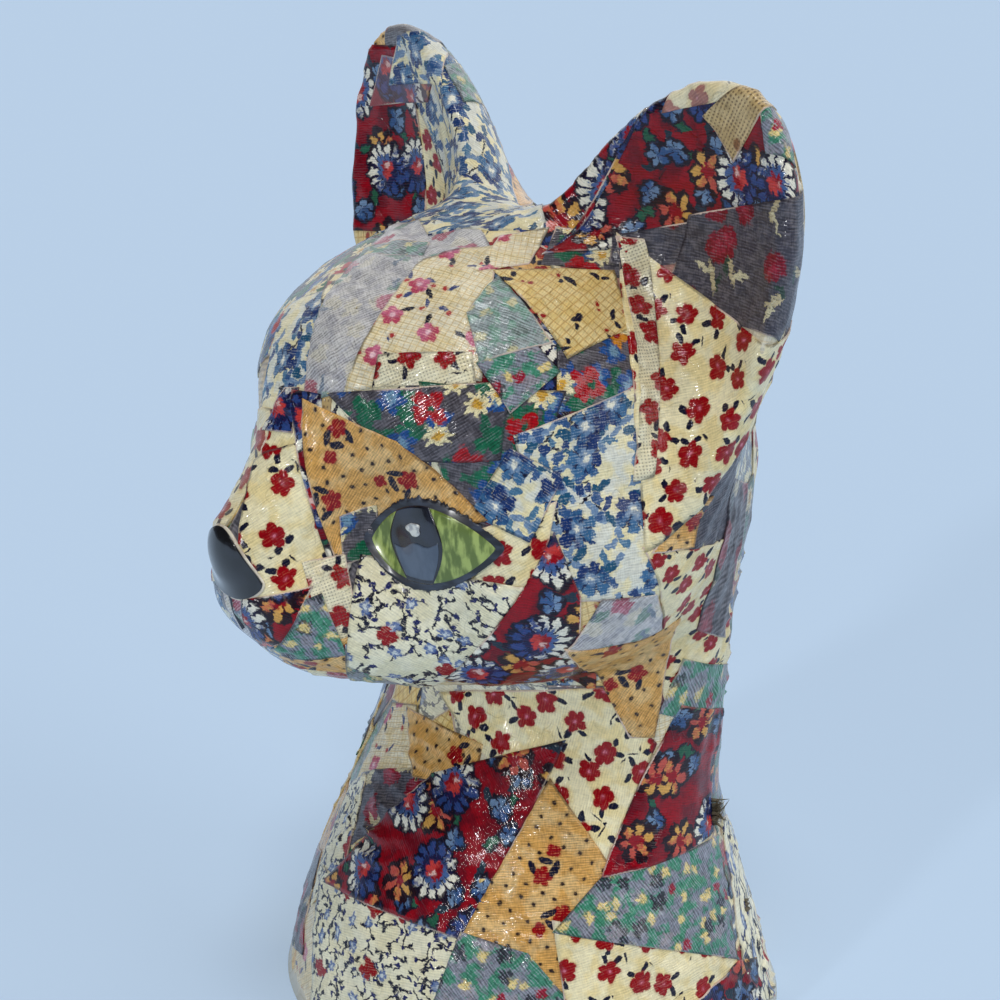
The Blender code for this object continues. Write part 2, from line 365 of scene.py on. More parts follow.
class Graph:
    """A new material's nodes, put in and joined by short calls."""

    def __init__(self, name: str) -> None:
        """Starts a material with one plain shader."""
        self.material = bpy.data.materials.new(name)
        self.material.use_nodes = True
        self.tree = self.material.node_tree
        self.shader = self.tree.nodes["Principled BSDF"]

    def put(self, kind: str, feeds: dict[str | int, Feed], out: str | int = 0,
            **settings: object) -> Socket:
        """Adds a node, feeds its sockets and gives one of its outputs.

        Args:
            kind: The node's type.
            feeds: What goes into each named or numbered socket.
            out: The output wanted.
            **settings: The node's own options.

        Returns:
            The output socket.
        """
        node = self.tree.nodes.new(kind)
        for setting, value in settings.items():
            setattr(node, setting, value)
        for socket, feed in feeds.items():
            self.feed(node.inputs[socket], feed)
        return node.outputs[out]

    def feed(self, socket: Socket, feed: Feed) -> None:
        """Joins a socket to an output, or sets its value.

        Args:
            socket: The socket to feed.
            feed: An output, a number or a colour.
        """
        if isinstance(feed, Socket):
            self.tree.links.new(feed, socket)
        elif isinstance(feed, tuple) and socket.type == "RGBA":
            socket.default_value = (*feed, 1.0)
        else:
            socket.default_value = feed

    def calc(self, operation: str, *feeds: Feed) -> Socket:
        """Works out one number from others."""
        return self.put("ShaderNodeMath", dict(enumerate(feeds)), operation=operation)

    def times(self, first: Feed, second: Feed) -> Socket:
        """Multiplies two numbers."""
        return self.calc("MULTIPLY", first, second)

    def fade(self, value: Feed, low: float, high: float) -> Socket:
        """Goes smoothly from nothing at low to one at high."""
        return self.put(
            "ShaderNodeMapRange", {"Value": value, "From Min": low, "From Max": high},
            interpolation_type="SMOOTHSTEP")

    def blend(self, share: Feed, below: Feed, above: Feed) -> Socket:
        """Lays one colour over another."""
        return self.put("ShaderNodeMix", {0: share, 6: below, 7: above}, 2, data_type="RGBA")

    def place(self, at: Feed, shift: Pair = (0.0, 0.0), turn: float = 0.0,
              size: Pair = (1.0, 1.0)) -> Socket:
        """Reads flat places in a frame that is shifted, then turned, then sized."""
        return self.put(
            "ShaderNodeMapping",
            {"Vector": at, "Location": (*shift, 0.0), "Rotation": (0.0, 0.0, turn),
             "Scale": (*size, 1.0)}, vector_type="TEXTURE")

    def length(self, at: Feed) -> Socket:
        """Measures from the frame's middle."""
        return self.put("ShaderNodeVectorMath", {0: at}, "Value", operation="LENGTH")

    def noise(self, at: Feed, scale: float, detail: float = 2.0, out: str = "Fac") -> Socket:
        """Reads soft flat noise."""
        return self.put("ShaderNodeTexNoise", {"Vector": at, "Scale": scale, "Detail": detail},
                        out, noise_dimensions="2D")

    def axes(self, at: Feed) -> list[Socket]:
        """Reads how far across, up and out a place lies."""
        return list(self.put("ShaderNodeSeparateXYZ", {0: at}).node.outputs)

    def bump(self, height: Feed, strength: float, distance: float) -> Socket:
        """Turns a height between nothing and one into a bump, whose full size is in metres."""
        return self.put("ShaderNodeBump", {
            "Strength": strength, "Distance": distance, "Height": height})

    def chart(self, name: str) -> Socket:
        """Reads a piece's own flat coordinates."""
        return self.put("ShaderNodeUVMap", {}, uv_map=name)

    def mark(self, name: str) -> Socket:
        """Reads a piece's own attribute."""
        return self.put("ShaderNodeAttribute", {}, "Fac", attribute_name=name)

    def dress(self, socket: str, feed: Feed) -> None:
        """Feeds one of the shader's own sockets, or sets its value."""
        self.feed(self.shader.inputs[socket], feed)

    def finish(self, roughness: float, coat: float, coat_roughness: float,
               level: float = 0.5, coat_ior: float = 1.5) -> None:
        """Sets the shader's plain gloss and varnish.

        Args:
            roughness: The roughness below the varnish.
            coat: How much varnish there is.
            coat_roughness: The varnish's roughness.
            level: How much the surface below it shines.
            coat_ior: How strongly the varnish bends light.
        """
        values = {"Roughness": roughness, "Coat Weight": coat, "Coat Roughness": coat_roughness,
                  "Specular IOR Level": level, "Coat IOR": coat_ior}
        for socket, value in values.items():
            self.dress(socket, value)


# Millimetres in from a flower's edge: where the print comes in, and its thin bled fringe.
PRINTED = (-0.12, 0.14)
BLED = (-0.42, 0.1)
BLED_SHARE = 0.30


@dataclass(frozen=True)
class Bloom:
    """A round flower of a print, in millimetres: its edge is a cosine round the middle.

    gap is the colour between the petals, tip the one that the petals turn to on the
    flower's upper side, and point how narrow the petals are at their ends.
    """

    radius: float
    colour: Colour
    petals: int = 0
    notch: float = 0.3
    at: Pair = (0.0, 0.0)
    gap: Colour | None = None
    tip: Colour | None = None
    point: float = 0.6

    def paint(self, graph: Graph, at: Feed, share: Feed, below: Feed) -> Socket:
        """Paints the flower.

        Args:
            graph: The material being made.
            at: Places in the motif's own frame.
            share: How strongly the motif is printed.
            below: The colour under it.

        Returns:
            The colour with the flower.
        """
        own = graph.place(at, self.at) if any(self.at) else at
        away = graph.length(own)
        edge: Feed = self.radius
        petal: Feed = self.colour
        if self.petals:
            across, up, _ = graph.axes(own)
            angle = graph.calc("ARCTAN2", up, across)
            wave = graph.calc("COSINE", graph.times(angle, self.petals / 2))
            lobe = graph.calc("POWER", graph.calc("ABSOLUTE", wave), self.point)
            edge = graph.calc("MULTIPLY_ADD", lobe, self.radius * self.notch,
                              self.radius * (1 - self.notch))
            if self.tip:
                streak = graph.calc("MULTIPLY_ADD", graph.noise(own, 1.1, 3), 1.6 * self.radius, up)
                petal = graph.blend(graph.fade(streak, 0.45 * self.radius, 1.15 * self.radius),
                                    petal, self.tip)
            if self.gap:
                petal = graph.blend(graph.fade(lobe, 0.35, 0.65), self.gap, petal)
        depth = graph.calc("SUBTRACT", edge, away)
        bled = graph.times(graph.fade(depth, *BLED), BLED_SHARE)
        inside = graph.calc("MAXIMUM", graph.fade(depth, *PRINTED), bled)
        return graph.blend(graph.times(inside, share), below, petal)


@dataclass(frozen=True)
class Leaf:
    """A leaf or a stem of a print, in millimetres and degrees: a long oval."""

    at: Pair
    size: Pair
    turn: float
    colour: Colour

    def paint(self, graph: Graph, at: Feed, share: Feed, below: Feed) -> Socket:
        """Paints the leaf: its edge is where the radius in its own sized frame is one."""
        away = graph.length(graph.place(at, self.at, math.radians(self.turn), self.size))
        soft = 0.07 / min(self.size)
        inside = graph.fade(away, 1 + soft, 1 - soft)
        return graph.blend(graph.times(inside, share), below, self.colour)


@dataclass(frozen=True)
class Motif:
    """Flowers and leaves that are printed together, over and over, each turned at will.

    pitch is how far apart they are, in millimetres, jitter how unevenly they are scattered,
    chance how many of the cells are filled, and shift sets the pattern apart from others.
    """

    pitch: float
    parts: tuple[Bloom | Leaf, ...]
    jitter: float = 0.6
    chance: float = 1.0
    shift: float = 0.0

    def paint(self, graph: Graph, at: Feed, below: Feed) -> Socket:
        """Paints the motif in the middle of each cell of a scattered pattern.

        Args:
            graph: The material being made.
            at: Places on the cloth.
            below: The colour under it.

        Returns:
            The colour with the motif.
        """
        moved = graph.place(at, (self.shift, self.shift * 0.7)) if self.shift else at
        cells = graph.put(
            "ShaderNodeTexVoronoi",
            {"Vector": moved, "Scale": 1.0 / self.pitch, "Randomness": self.jitter},
            voronoi_dimensions="2D").node
        dice = graph.put("ShaderNodeSeparateColor", {0: cells.outputs["Color"]}).node
        local = graph.put("ShaderNodeVectorMath", {0: moved, 1: cells.outputs["Position"]},
                          operation="SUBTRACT")
        turn = graph.times(dice.outputs[0], 2 * math.pi)
        spun = graph.put("ShaderNodeVectorRotate", {"Vector": local, "Angle": turn},
                         rotation_type="Z_AXIS")
        share: Feed = 1.0
        if self.chance < 1:
            share = graph.calc("LESS_THAN", dice.outputs[1], self.chance)
        for part in self.parts:
            below = part.paint(graph, spun, share, below)
        return below


@dataclass(frozen=True)
class Weave:
    """How the threads show: their pitch, the contrast of the light and shade painted on them, how
    open they lie and their slope.

    pitch is in millimetres, turn in degrees, and gap is what shows between open threads.
    """

    pitch: float = 0.42
    contrast: float = 0.16
    open: float = 0.0
    turn: float = 0.0
    gap: Colour = (0.06, 0.05, 0.045)

    def threads(self, graph: Graph, at: Feed) -> tuple[Socket, Feed]:
        """Works out the threads' height: swaying ribs, and noise drawn out both ways.

        A thread's noise is several pitches long and about half of one wide.

        Args:
            graph: The material being made.
            at: Places on the cloth.

        Returns:
            The height, and how much of a hole there is between four threads.
        """
        own = graph.place(at, turn=math.radians(self.turn))
        across = graph.noise(graph.place(own, size=(self.pitch * 4.5, self.pitch * 0.62)), 1.0, 1)
        along = graph.noise(graph.place(own, size=(self.pitch * 0.62, self.pitch * 3.0)), 1.0, 1)
        axes = graph.axes(own)[:2]
        around = 2 * math.pi / self.pitch
        sway = graph.calc("MULTIPLY_ADD", graph.noise(own, 0.4, 1), 1.1 * self.pitch, axes[1])
        rib = graph.calc("SINE", graph.times(sway, around))
        height = graph.calc("MULTIPLY_ADD", rib, 0.22, graph.calc(
            "MULTIPLY_ADD", graph.fade(across, 0.36, 0.64), 0.4,
            graph.calc("MULTIPLY_ADD", graph.fade(along, 0.36, 0.64), 0.28, 0.16)))
        if not self.open:
            return height, 0.0
        both = graph.calc("MINIMUM", *(
            graph.calc("SINE", graph.times(axis, around)) for axis in axes))
        loose = graph.calc("MULTIPLY_ADD", graph.noise(own, 0.35, 1), 1.6, -0.8)
        hole = graph.fade(graph.calc("ADD", both, loose), 0.05, 0.6)
        return height, graph.times(hole, self.open)


@dataclass(frozen=True)
class Print:
    """A printed cotton under varnish: two ground colours, its motifs and its threads.

    blotch is the size of the ground's patches. warp, ragged and comb are how far the
    cloth's stretch, the running dye and the threads move the print. All are in
    millimetres. share is the band of noise in which the ground turns to its second colour,
    and dry how much that colour shows through on the threads. lines are thin checks: their
    pitch, their turn and their colour.
    """

    ground: Colour
    second: Colour
    motifs: tuple[Motif, ...]
    weave: Weave = Weave()
    blotch: float = 4.0
    ragged: float = 0.5
    lines: tuple[float, float, Colour] | None = None
    share: Pair = (0.42, 0.62)
    dry: float = 0.28
    comb: float = 0.6
    warp: float = 1.6

    def checks(self, graph: Graph, at: Feed, below: Feed) -> Socket:
        """Rules thin lines both ways, where either way's sine comes near nothing."""
        pitch, turn, colour = self.lines
        rows = [graph.calc("ABSOLUTE", graph.calc("SINE", graph.times(axis, math.pi / pitch)))
                for axis in graph.axes(graph.place(at, turn=math.radians(turn)))[:2]]
        line = graph.fade(graph.calc("MINIMUM", *rows), 0.42, 0.10)
        return graph.blend(graph.times(line, 0.6), below, colour)

    def drawn(self, graph: Graph, at: Feed) -> Socket:
        """Moves the print by noise: long pulls, runs of dye, specks, and steps between threads.

        Args:
            graph: The material being made.
            at: Places on the cloth.

        Returns:
            Places on the print.
        """
        drawn = at
        rows = graph.place(at, size=(5.0, 0.36))
        for noise, far in ((graph.noise(at, 0.3, 1, "Color"), (self.warp,) * 3),
                           (graph.noise(at, 1.3, 4, "Color"), (self.ragged,) * 3),
                           (graph.noise(at, 4.0, 1, "Color"), (0.22,) * 3),
                           (graph.noise(rows, 1.0, 0, "Color"), (self.comb, 0.0, 0.0))):
            frayed = graph.put("ShaderNodeVectorMath", {0: noise, 1: (0.5, 0.5, 0.5)},
                               operation="SUBTRACT")
            drawn = graph.put("ShaderNodeVectorMath", {0: frayed, 1: far, 2: drawn},
                              operation="MULTIPLY_ADD")
        return drawn

    def dyed(self, graph: Graph, at: Feed, height: Feed) -> Socket:
        """Prints the ground, the checks and the motifs, then wears the dye thin.

        Args:
            graph: The material being made.
            at: Places on the cloth.
            height: The threads' height.

        Returns:
            The dyed colour, paler by the veil: cloth with its back outward, and on some scraps a
                painted sheen of reflected light.
        """
        drawn = self.drawn(graph, at)
        colour = graph.blend(graph.fade(graph.noise(drawn, 1 / self.blotch, 3), *self.share),
                             self.ground, self.second)
        if self.lines:
            colour = self.checks(graph, at, colour)
        for motif in self.motifs:
            colour = motif.paint(graph, drawn, colour)
        bare = graph.times(graph.fade(height, 0.62, 0.95), self.dry)
        colour = graph.blend(bare, colour, self.second)
        worn = graph.fade(graph.noise(at, 2.4, 4), 0.60, 0.78)
        colour = graph.blend(graph.times(worn, self.dry), colour, self.ground)
        # The veil pales the print: cloth with its back outward, and on some scraps a painted sheen
        # of reflected light.
        pale = tuple(0.45 * part + 0.30 for part in self.ground)
        return graph.blend(graph.mark("veil_and_sheen"), colour, pale)

    def worn_and_shaded(self, graph: Graph, at: Feed, threads: tuple[Feed, Feed], colour: Feed) -> Socket:
        """Paints light on the raised threads and shade between them, with grime, holes and cut
        edge.

        The edge is pale where its frayed threads stand up. Elsewhere along it the edge is dark:
        glue, and a painted shadow under the lifted edge.

        Args:
            graph: The material being made.
            at: Places on the cloth.
            threads: The threads' height, and the holes between them.
            colour: The dyed colour.

        Returns:
            The colour with its shades.
        """
        height, hole = threads
        grime = graph.calc("MULTIPLY_ADD", graph.noise(at, 0.11, 3), 0.36,
                           graph.times(graph.noise(at, 0.9, 3), 0.30))
        # Raised threads are painted lighter and the gaps between them darker: painted light and
        # shade on the weave, plus random grime.
        light = graph.calc("MULTIPLY_ADD", height, 2.0 * self.weave.contrast,
                           graph.calc("ADD", grime, 0.68 - self.weave.contrast))
        colour = graph.put("ShaderNodeVectorMath", {0: colour, "Scale": light}, operation="SCALE")
        if self.weave.open:
            colour = graph.blend(hole, colour, self.weave.gap)
        edge = graph.calc("ADD", graph.mark("edge"), graph.times(graph.noise(at, 2.5, 2), -0.35))
        lifted = graph.noise(at, 0.09, 1)
        pale = graph.times(graph.fade(edge, 0.08, -0.04), graph.fade(lifted, 0.50, 0.72))
        colour = graph.blend(pale, colour, dye(222, 200, 184))
        # A dark line along the cut edge and its foot, where the edge isn't frayed pale: glue, and a
        # painted shadow under the lifted edge.
        glue_and_edge_shadow = graph.times(graph.fade(edge, 0.30, 0.0), graph.fade(lifted, 0.50, 0.36))
        return graph.blend(graph.times(glue_and_edge_shadow, 0.55), colour, dye(40, 34, 40))

    def relief(self, graph: Graph, at: Feed, threads: tuple[Feed, Feed]) -> Socket:
        """Adds a sharp crease here and there to the threads' height, and takes off the holes.

        Args:
            graph: The material being made.
            at: Places on the cloth.
            threads: The threads' height, and the holes between them.

        Returns:
            The height.
        """
        height, hole = threads
        ridge = graph.calc("ABSOLUTE", graph.calc("SUBTRACT", graph.noise(at, 0.13, 2), 0.5))
        crease = graph.times(graph.fade(ridge, 0.012, 0.0),
                             graph.fade(graph.noise(at, 0.07, 1), 0.52, 0.62))
        return graph.calc("SUBTRACT", graph.calc("MULTIPLY_ADD", crease, 2.2, height),
                          graph.times(hole, 0.8))

    def build(self, name: str) -> bpy.types.Material:
        """Makes the material, from the ground up to the varnish.

        Args:
            name: The cloth's name.

        Returns:
            The material.
        """
        graph = Graph(f"cotton_{name}")
        at = graph.chart("cloth")
        threads = self.weave.threads(graph, at)
        colour = self.dyed(graph, at, threads[0])
        graph.dress("Base Color", self.worn_and_shaded(graph, at, threads, colour))
        relief = self.relief(graph, at, threads)
        graph.dress("Normal", graph.bump(relief, strength=0.6, distance=0.00010))
        graph.dress("Coat Normal", graph.bump(relief, strength=0.4, distance=0.00008))
        graph.finish(0.5, coat=0.68, coat_roughness=0.07, level=0.05, coat_ior=1.46)
        return graph.material


class Cloth(Enum):
    """The printed cottons that the scraps are cut from."""

    RED_SPRIG = "red_sprig"
    BLUE_LEAF = "blue_leaf"
    CRIMSON_DAISY = "crimson_daisy"
    TAN_DOT = "tan_dot"
    GREEN_SHEER = "green_sheer"
    CHARCOAL_DAISY = "charcoal_daisy"
    GOLD_CHECK = "gold_check"
    NAVY_VINE = "navy_vine"
    SLATE_SCROLL = "slate_scroll"
    PINK_CHECK = "pink_check"
    TAN_GAUZE = "tan_gauze"
    GREY_GAUZE = "grey_gauze"
    WHITE_GAUZE = "white_gauze"


CREAM = dye(242, 230, 188)
RED = dye(150, 0, 14)
NAVY = dye(12, 16, 44)
MID_BLUE = dye(52, 88, 136)
PALE_BLUE = dye(112, 140, 172)
IVORY = dye(236, 232, 214)
CORAL = dye(206, 62, 58)
PINK = dye(214, 120, 140)
LEAF_GREEN = dye(34, 96, 70)
GOLD = dye(216, 164, 84)

SPRIG = Motif(6.0, (
    Leaf((3.0, -1.9), (1.1, 0.17), 28, NAVY), Leaf((1.9, 1.5), (0.9, 0.5), 62, NAVY),
    Leaf((2.3, -0.8), (0.9, 0.5), -40, NAVY), Leaf((4.0, -1.1), (0.42, 0.22), 80, NAVY),
    Bloom(1.95, RED, 5, 0.36), Bloom(0.26, PINK)), jitter=0.45)

PRINTS: dict[Cloth, Print] = {
    Cloth.RED_SPRIG: Print(
        CREAM, dye(238, 218, 160), (SPRIG,), Weave(contrast=0.15, turn=28.0), ragged=0.35,
        dry=0.05, comb=0.1, warp=1.3),
    Cloth.BLUE_LEAF: Print(
        dye(238, 226, 180), dye(222, 222, 208), (
            Motif(4.6, (
                Leaf((1.1, 0.6), (1.5, 0.65), 30, PALE_BLUE),
                Leaf((-0.7, 1.1), (1.2, 0.6), 115, dye(76, 120, 152)),
                Leaf((-0.6, -1.1), (1.3, 0.6), -110, PALE_BLUE)), jitter=1.0, chance=0.75),
            Motif(5.0, (
                Leaf((1.3, 0.3), (1.5, 0.75), 12, MID_BLUE),
                Leaf((-0.5, 1.4), (1.3, 0.7), 100, dye(30, 84, 116)),
                Leaf((-1.1, -0.8), (1.2, 0.65), -140, dye(30, 60, 112)),
                Leaf((0.7, -1.5), (1.4, 0.25), -60, NAVY)), jitter=1.0, chance=0.85, shift=31.0),
            Motif(8.0, (
                Bloom(3.0, dye(24, 52, 108), 6, 0.4, gap=dye(14, 28, 74), tip=dye(60, 108, 150)),
                Bloom(1.3, PALE_BLUE, 5, 0.5), Bloom(0.6, IVORY, 4, 0.4)), jitter=0.8, chance=0.7,
                  shift=57.0)),
        ragged=1.1, dry=0.25, comb=0.4),
    Cloth.CRIMSON_DAISY: Print(
        dye(148, 4, 24), dye(112, 4, 24), (
            Motif(7.5, (
                Leaf((2.2, 0.6), (2.8, 1.1), 25, dye(34, 26, 40)),
                Leaf((2.2, 0.6), (2.3, 0.7), 25, LEAF_GREEN),
                Leaf((-1.6, 1.6), (2.4, 0.8), 110, dye(30, 52, 66)),
                Bloom(2.3, dye(24, 18, 34)), Bloom(1.8, MID_BLUE, 5, 0.5, gap=NAVY, tip=PALE_BLUE)),
                  jitter=0.9, chance=0.8, shift=23.0),
            Motif(9.5, (
                Bloom(3.9, dye(30, 12, 24), 7, 0.3), Bloom(3.1, GOLD, 6, 0.6, gap=dye(70, 16, 30),
                                                           tip=dye(196, 84, 70), point=1.1),
                Bloom(1.2, dye(150, 10, 26), 5, 0.4)), jitter=0.8, chance=0.7, shift=71.0),
            Motif(12.5, (
                Bloom(5.0, dye(16, 14, 36), 13, 0.10),
                Bloom(4.5, dye(44, 70, 128), 13, 0.22, gap=dye(14, 20, 58), tip=IVORY, point=0.9),
                Bloom(2.9, dye(18, 26, 72), 13, 0.5, tip=dye(70, 100, 150)),
                Bloom(1.7, CORAL, 7, 0.4, tip=dye(150, 10, 26)),
                Bloom(0.6, dye(232, 190, 180), 3, 0.5, at=(0.7, 0.3))),
                  jitter=0.5, chance=0.8)),
        Weave(contrast=0.22, turn=-8.0), ragged=1.0, dry=0.12, warp=1.8),
    Cloth.TAN_DOT: Print(
        dye(214, 162, 88), dye(224, 184, 122), (
            Motif(2.6, (Bloom(0.36, dye(44, 30, 30)),), jitter=0.35),
            Motif(12.5, (
                Bloom(1.7, RED, 5, 0.4, at=(1.8, 0.9)), Leaf((-0.4, 1.0), (1.3, 0.55), 30, NAVY),
                Leaf((0.0, -0.8), (1.2, 0.55), -50, NAVY), Leaf((2.4, -1.3), (1.1, 0.5), 80, NAVY),
                Bloom(1.2, RED, 4, 0.35, at=(-2.0, -1.4))), shift=13.0)),
        Weave(0.40, 0.34, turn=32.0), ragged=0.3, dry=0.2, comb=0.1, warp=0.8),
    Cloth.GREEN_SHEER: Print(
        dye(70, 140, 112), dye(134, 136, 148), (
            Motif(4.2, (Bloom(1.4, dye(58, 60, 68), 4, 0.6),), jitter=1.0, chance=0.4, shift=9.0),
            Motif(4.7, (Bloom(1.5, dye(150, 146, 154), 5, 0.6),), jitter=1.0, chance=0.4,
                  shift=29.0),
            Motif(4.0, (Bloom(0.85, dye(234, 210, 140), 4, 0.35),), jitter=0.9, chance=0.75),
            Motif(8.5, (Bloom(1.0, dye(160, 30, 54), 4),), jitter=0.9, chance=0.4, shift=41.0)),
        Weave(0.46, 0.52, turn=-52.0), blotch=2.6, ragged=1.0, share=(0.44, 0.56), dry=0.75),
    Cloth.CHARCOAL_DAISY: Print(
        dye(74, 70, 76), dye(98, 94, 100), (
            Motif(6.0, (
                Bloom(2.6, dye(24, 104, 72), 3, 0.7), Leaf((2.0, 1.0), (2.0, 0.8), 20, LEAF_GREEN)),
                  jitter=0.9, chance=0.75, shift=17.0),
            Motif(6.2, (
                Bloom(2.2, dye(26, 76, 140), 5, 0.6), Bloom(0.9, dye(112, 150, 176), 6, 0.5)),
                  jitter=0.9, chance=0.7, shift=53.0),
            Motif(10.0, (
                Bloom(2.9, dye(176, 12, 24), 4, 0.6, at=(0.6, 0.3)), Bloom(0.6, LEAF_GREEN)),
                  jitter=0.8, chance=0.5, shift=83.0),
            Motif(13.0, (Bloom(2.3, dye(214, 140, 40), 5, 0.4), Bloom(0.8, RED)),
                  jitter=0.8, chance=0.5, shift=101.0),
            Motif(6.0, (Bloom(2.2, dye(240, 226, 176), 8, 0.5, point=1.2),
                        Bloom(0.8, dye(214, 164, 62))), jitter=0.8, chance=0.55)),
        Weave(0.44, 0.5, turn=4.0), blotch=1.6, ragged=1.0, dry=0.6),
    Cloth.GOLD_CHECK: Print(
        dye(236, 212, 150), dye(230, 200, 128), (
            Motif(5.2, (Bloom(0.5, RED), Bloom(0.35, RED, at=(1.2, 0.4))), jitter=0.8, chance=0.7),
            Motif(6.5, (
                Leaf((0.0, 0.0), (1.2, 0.5), 10, NAVY), Leaf((1.2, 1.3), (0.6, 0.35), 70, NAVY)),
                  jitter=0.8, chance=0.6, shift=29.0),
            Motif(11.0, (Bloom(1.7, RED, 4, 0.4),), jitter=0.7, chance=0.35, shift=61.0)),
        Weave(turn=45.0), lines=(1.25, 35.0, dye(184, 134, 58)), ragged=0.4,
        dry=0.12, comb=0.2),
    Cloth.NAVY_VINE: Print(
        dye(240, 234, 204), dye(234, 226, 190), (
            Motif(2.4, (
                Leaf((0.0, 0.0), (1.7, 0.17), 25, NAVY), Leaf((0.9, 0.8), (0.6, 0.34), 60, NAVY),
                Leaf((-0.9, -0.5), (0.6, 0.32), -30, dye(26, 34, 92))), jitter=1.0, chance=0.75),
            Motif(2.8, (
                Leaf((0.0, 0.0), (1.5, 0.16), 100, NAVY), Leaf((0.6, -0.6), (0.6, 0.36), -50, NAVY),
                Leaf((-0.5, 0.8), (0.55, 0.34), 20, dye(26, 34, 92))), jitter=1.0, chance=0.7,
                  shift=19.0),
            Motif(4.4, (
                Bloom(1.1, dye(84, 108, 158), 5, 0.5), Bloom(0.5, dye(206, 214, 216), 4, 0.4)),
                  jitter=1.0, chance=0.5, shift=37.0),
            Motif(10.5, (Bloom(1.9, RED, 4, 0.45, point=0.5),),
                  jitter=0.8, chance=0.65, shift=67.0)),
        Weave(contrast=0.14), ragged=0.9, dry=0.16, comb=0.4),
    Cloth.SLATE_SCROLL: Print(
        dye(70, 68, 78), dye(94, 90, 96), (
            Motif(8.0, (
                Bloom(2.4, dye(132, 16, 38), 6, 0.15), Bloom(1.2, dye(160, 40, 60), 5, 0.5)),
                  jitter=0.9, chance=0.6, shift=11.0),
            Motif(9.0, (
                Leaf((0.0, 0.0), (2.6, 0.6), 0, dye(196, 180, 140)),
                Leaf((1.6, 1.3), (2.0, 0.45), 55, dye(214, 204, 166)),
                Leaf((-1.4, -0.9), (1.5, 0.5), -40, dye(46, 70, 58))), jitter=0.9, chance=0.6,
                  shift=47.0)),
        Weave(0.46, 0.5, turn=-6.0), blotch=1.4, ragged=1.5, dry=0.6),
    Cloth.PINK_CHECK: Print(
        dye(234, 224, 196), dye(230, 214, 172), (
            Motif(5.0, (
                Bloom(0.45, dye(176, 60, 60)), Leaf((1.1, 0.7), (0.9, 0.35), 60, dye(66, 78, 124))),
                  jitter=0.8, chance=0.6),
            Motif(8.0, (
                Bloom(1.75, dye(202, 110, 140), 5, 0.35, tip=dye(186, 70, 96)),
                Bloom(0.45, dye(236, 190, 200)),
                Leaf((-2.0, -1.6), (1.0, 0.4), 20, NAVY)), jitter=0.7, chance=0.8, shift=43.0)),
        Weave(0.42, 0.2), lines=(1.0, 0.0, dye(204, 172, 104)), ragged=0.6, dry=0.25,
        comb=0.2, warp=0.7),
    Cloth.TAN_GAUZE: Print(
        dye(206, 180, 132), dye(188, 160, 110), (
            Motif(9.0, (Bloom(0.9, dye(140, 96, 60)),), jitter=0.9, chance=0.5),),
        Weave(0.62, 0.24, 0.7, 8.0, dye(96, 74, 50))),
    Cloth.GREY_GAUZE: Print(
        dye(206, 203, 200), dye(176, 174, 178), (
            Motif(5.0, (Bloom(1.7, dye(214, 208, 192), 5, 0.5),), jitter=1.0, chance=0.6),
            Motif(6.5, (Leaf((0.5, 0.4), (2.2, 0.8), 30, dye(128, 154, 142)),
                        Leaf((-0.8, 0.9), (1.4, 0.5), 110, dye(118, 132, 148))), jitter=1.0,
                  chance=0.6, shift=27.0),
            Motif(8.0, (Bloom(1.9, dye(168, 84, 100), 5, 0.4, tip=dye(190, 120, 136)),),
                  jitter=0.8, chance=0.55, shift=59.0)),
        Weave(0.46, 0.40, 0.25, 40.0, dye(96, 94, 92)), blotch=2.0, ragged=1.0, dry=0.6),
    Cloth.WHITE_GAUZE: Print(
        dye(236, 228, 196), dye(226, 214, 176), (SPRIG,),
        Weave(0.50, 0.16, 0.5, 8.0, dye(110, 98, 84)), ragged=0.45, dry=0.08, comb=0.15),
}


@dataclass(frozen=True)
class Scrap:
    """A four-cornered scrap of cloth, in millimetres and degrees.

    Its middle goes at a place on the form. Its length runs up the form, turned to the
    left by turn. Its lower edge has the width and its upper edge the width times the
    taper; slants tilt those two edges. pull stretches the print along the length, and
    the veil is how pale the print looks: as cloth does with its back outward, and, on
    some scraps, as a painted sheen of reflected light.
    """

    cloth: Cloth
    at: Place
    turn: float
    length: float
    width: float
    taper: float = 1.0
    slants: Pair = (0.0, 0.0)
    pull: float = 1.0
    veil_and_sheen: float = 0.0

    def corners(self) -> Array:
        """Works out the corners on the flat cloth, lower left first and anticlockwise."""
        rows = []
        for end, width, slant in ((-0.5, self.width, self.slants[0]),
                                  (0.5, self.width * self.taper, self.slants[1])):
            tilt = math.radians(slant)
            half = np.array([math.cos(tilt), math.sin(tilt)]) * width / 2
            middle = np.array([0.0, end * self.length])
            rows.append((middle - half, middle + half))
        (low_left, low_right), (top_left, top_right) = rows
        return turned(np.stack([low_left, low_right, top_right, top_left]) * MM, self.turn)


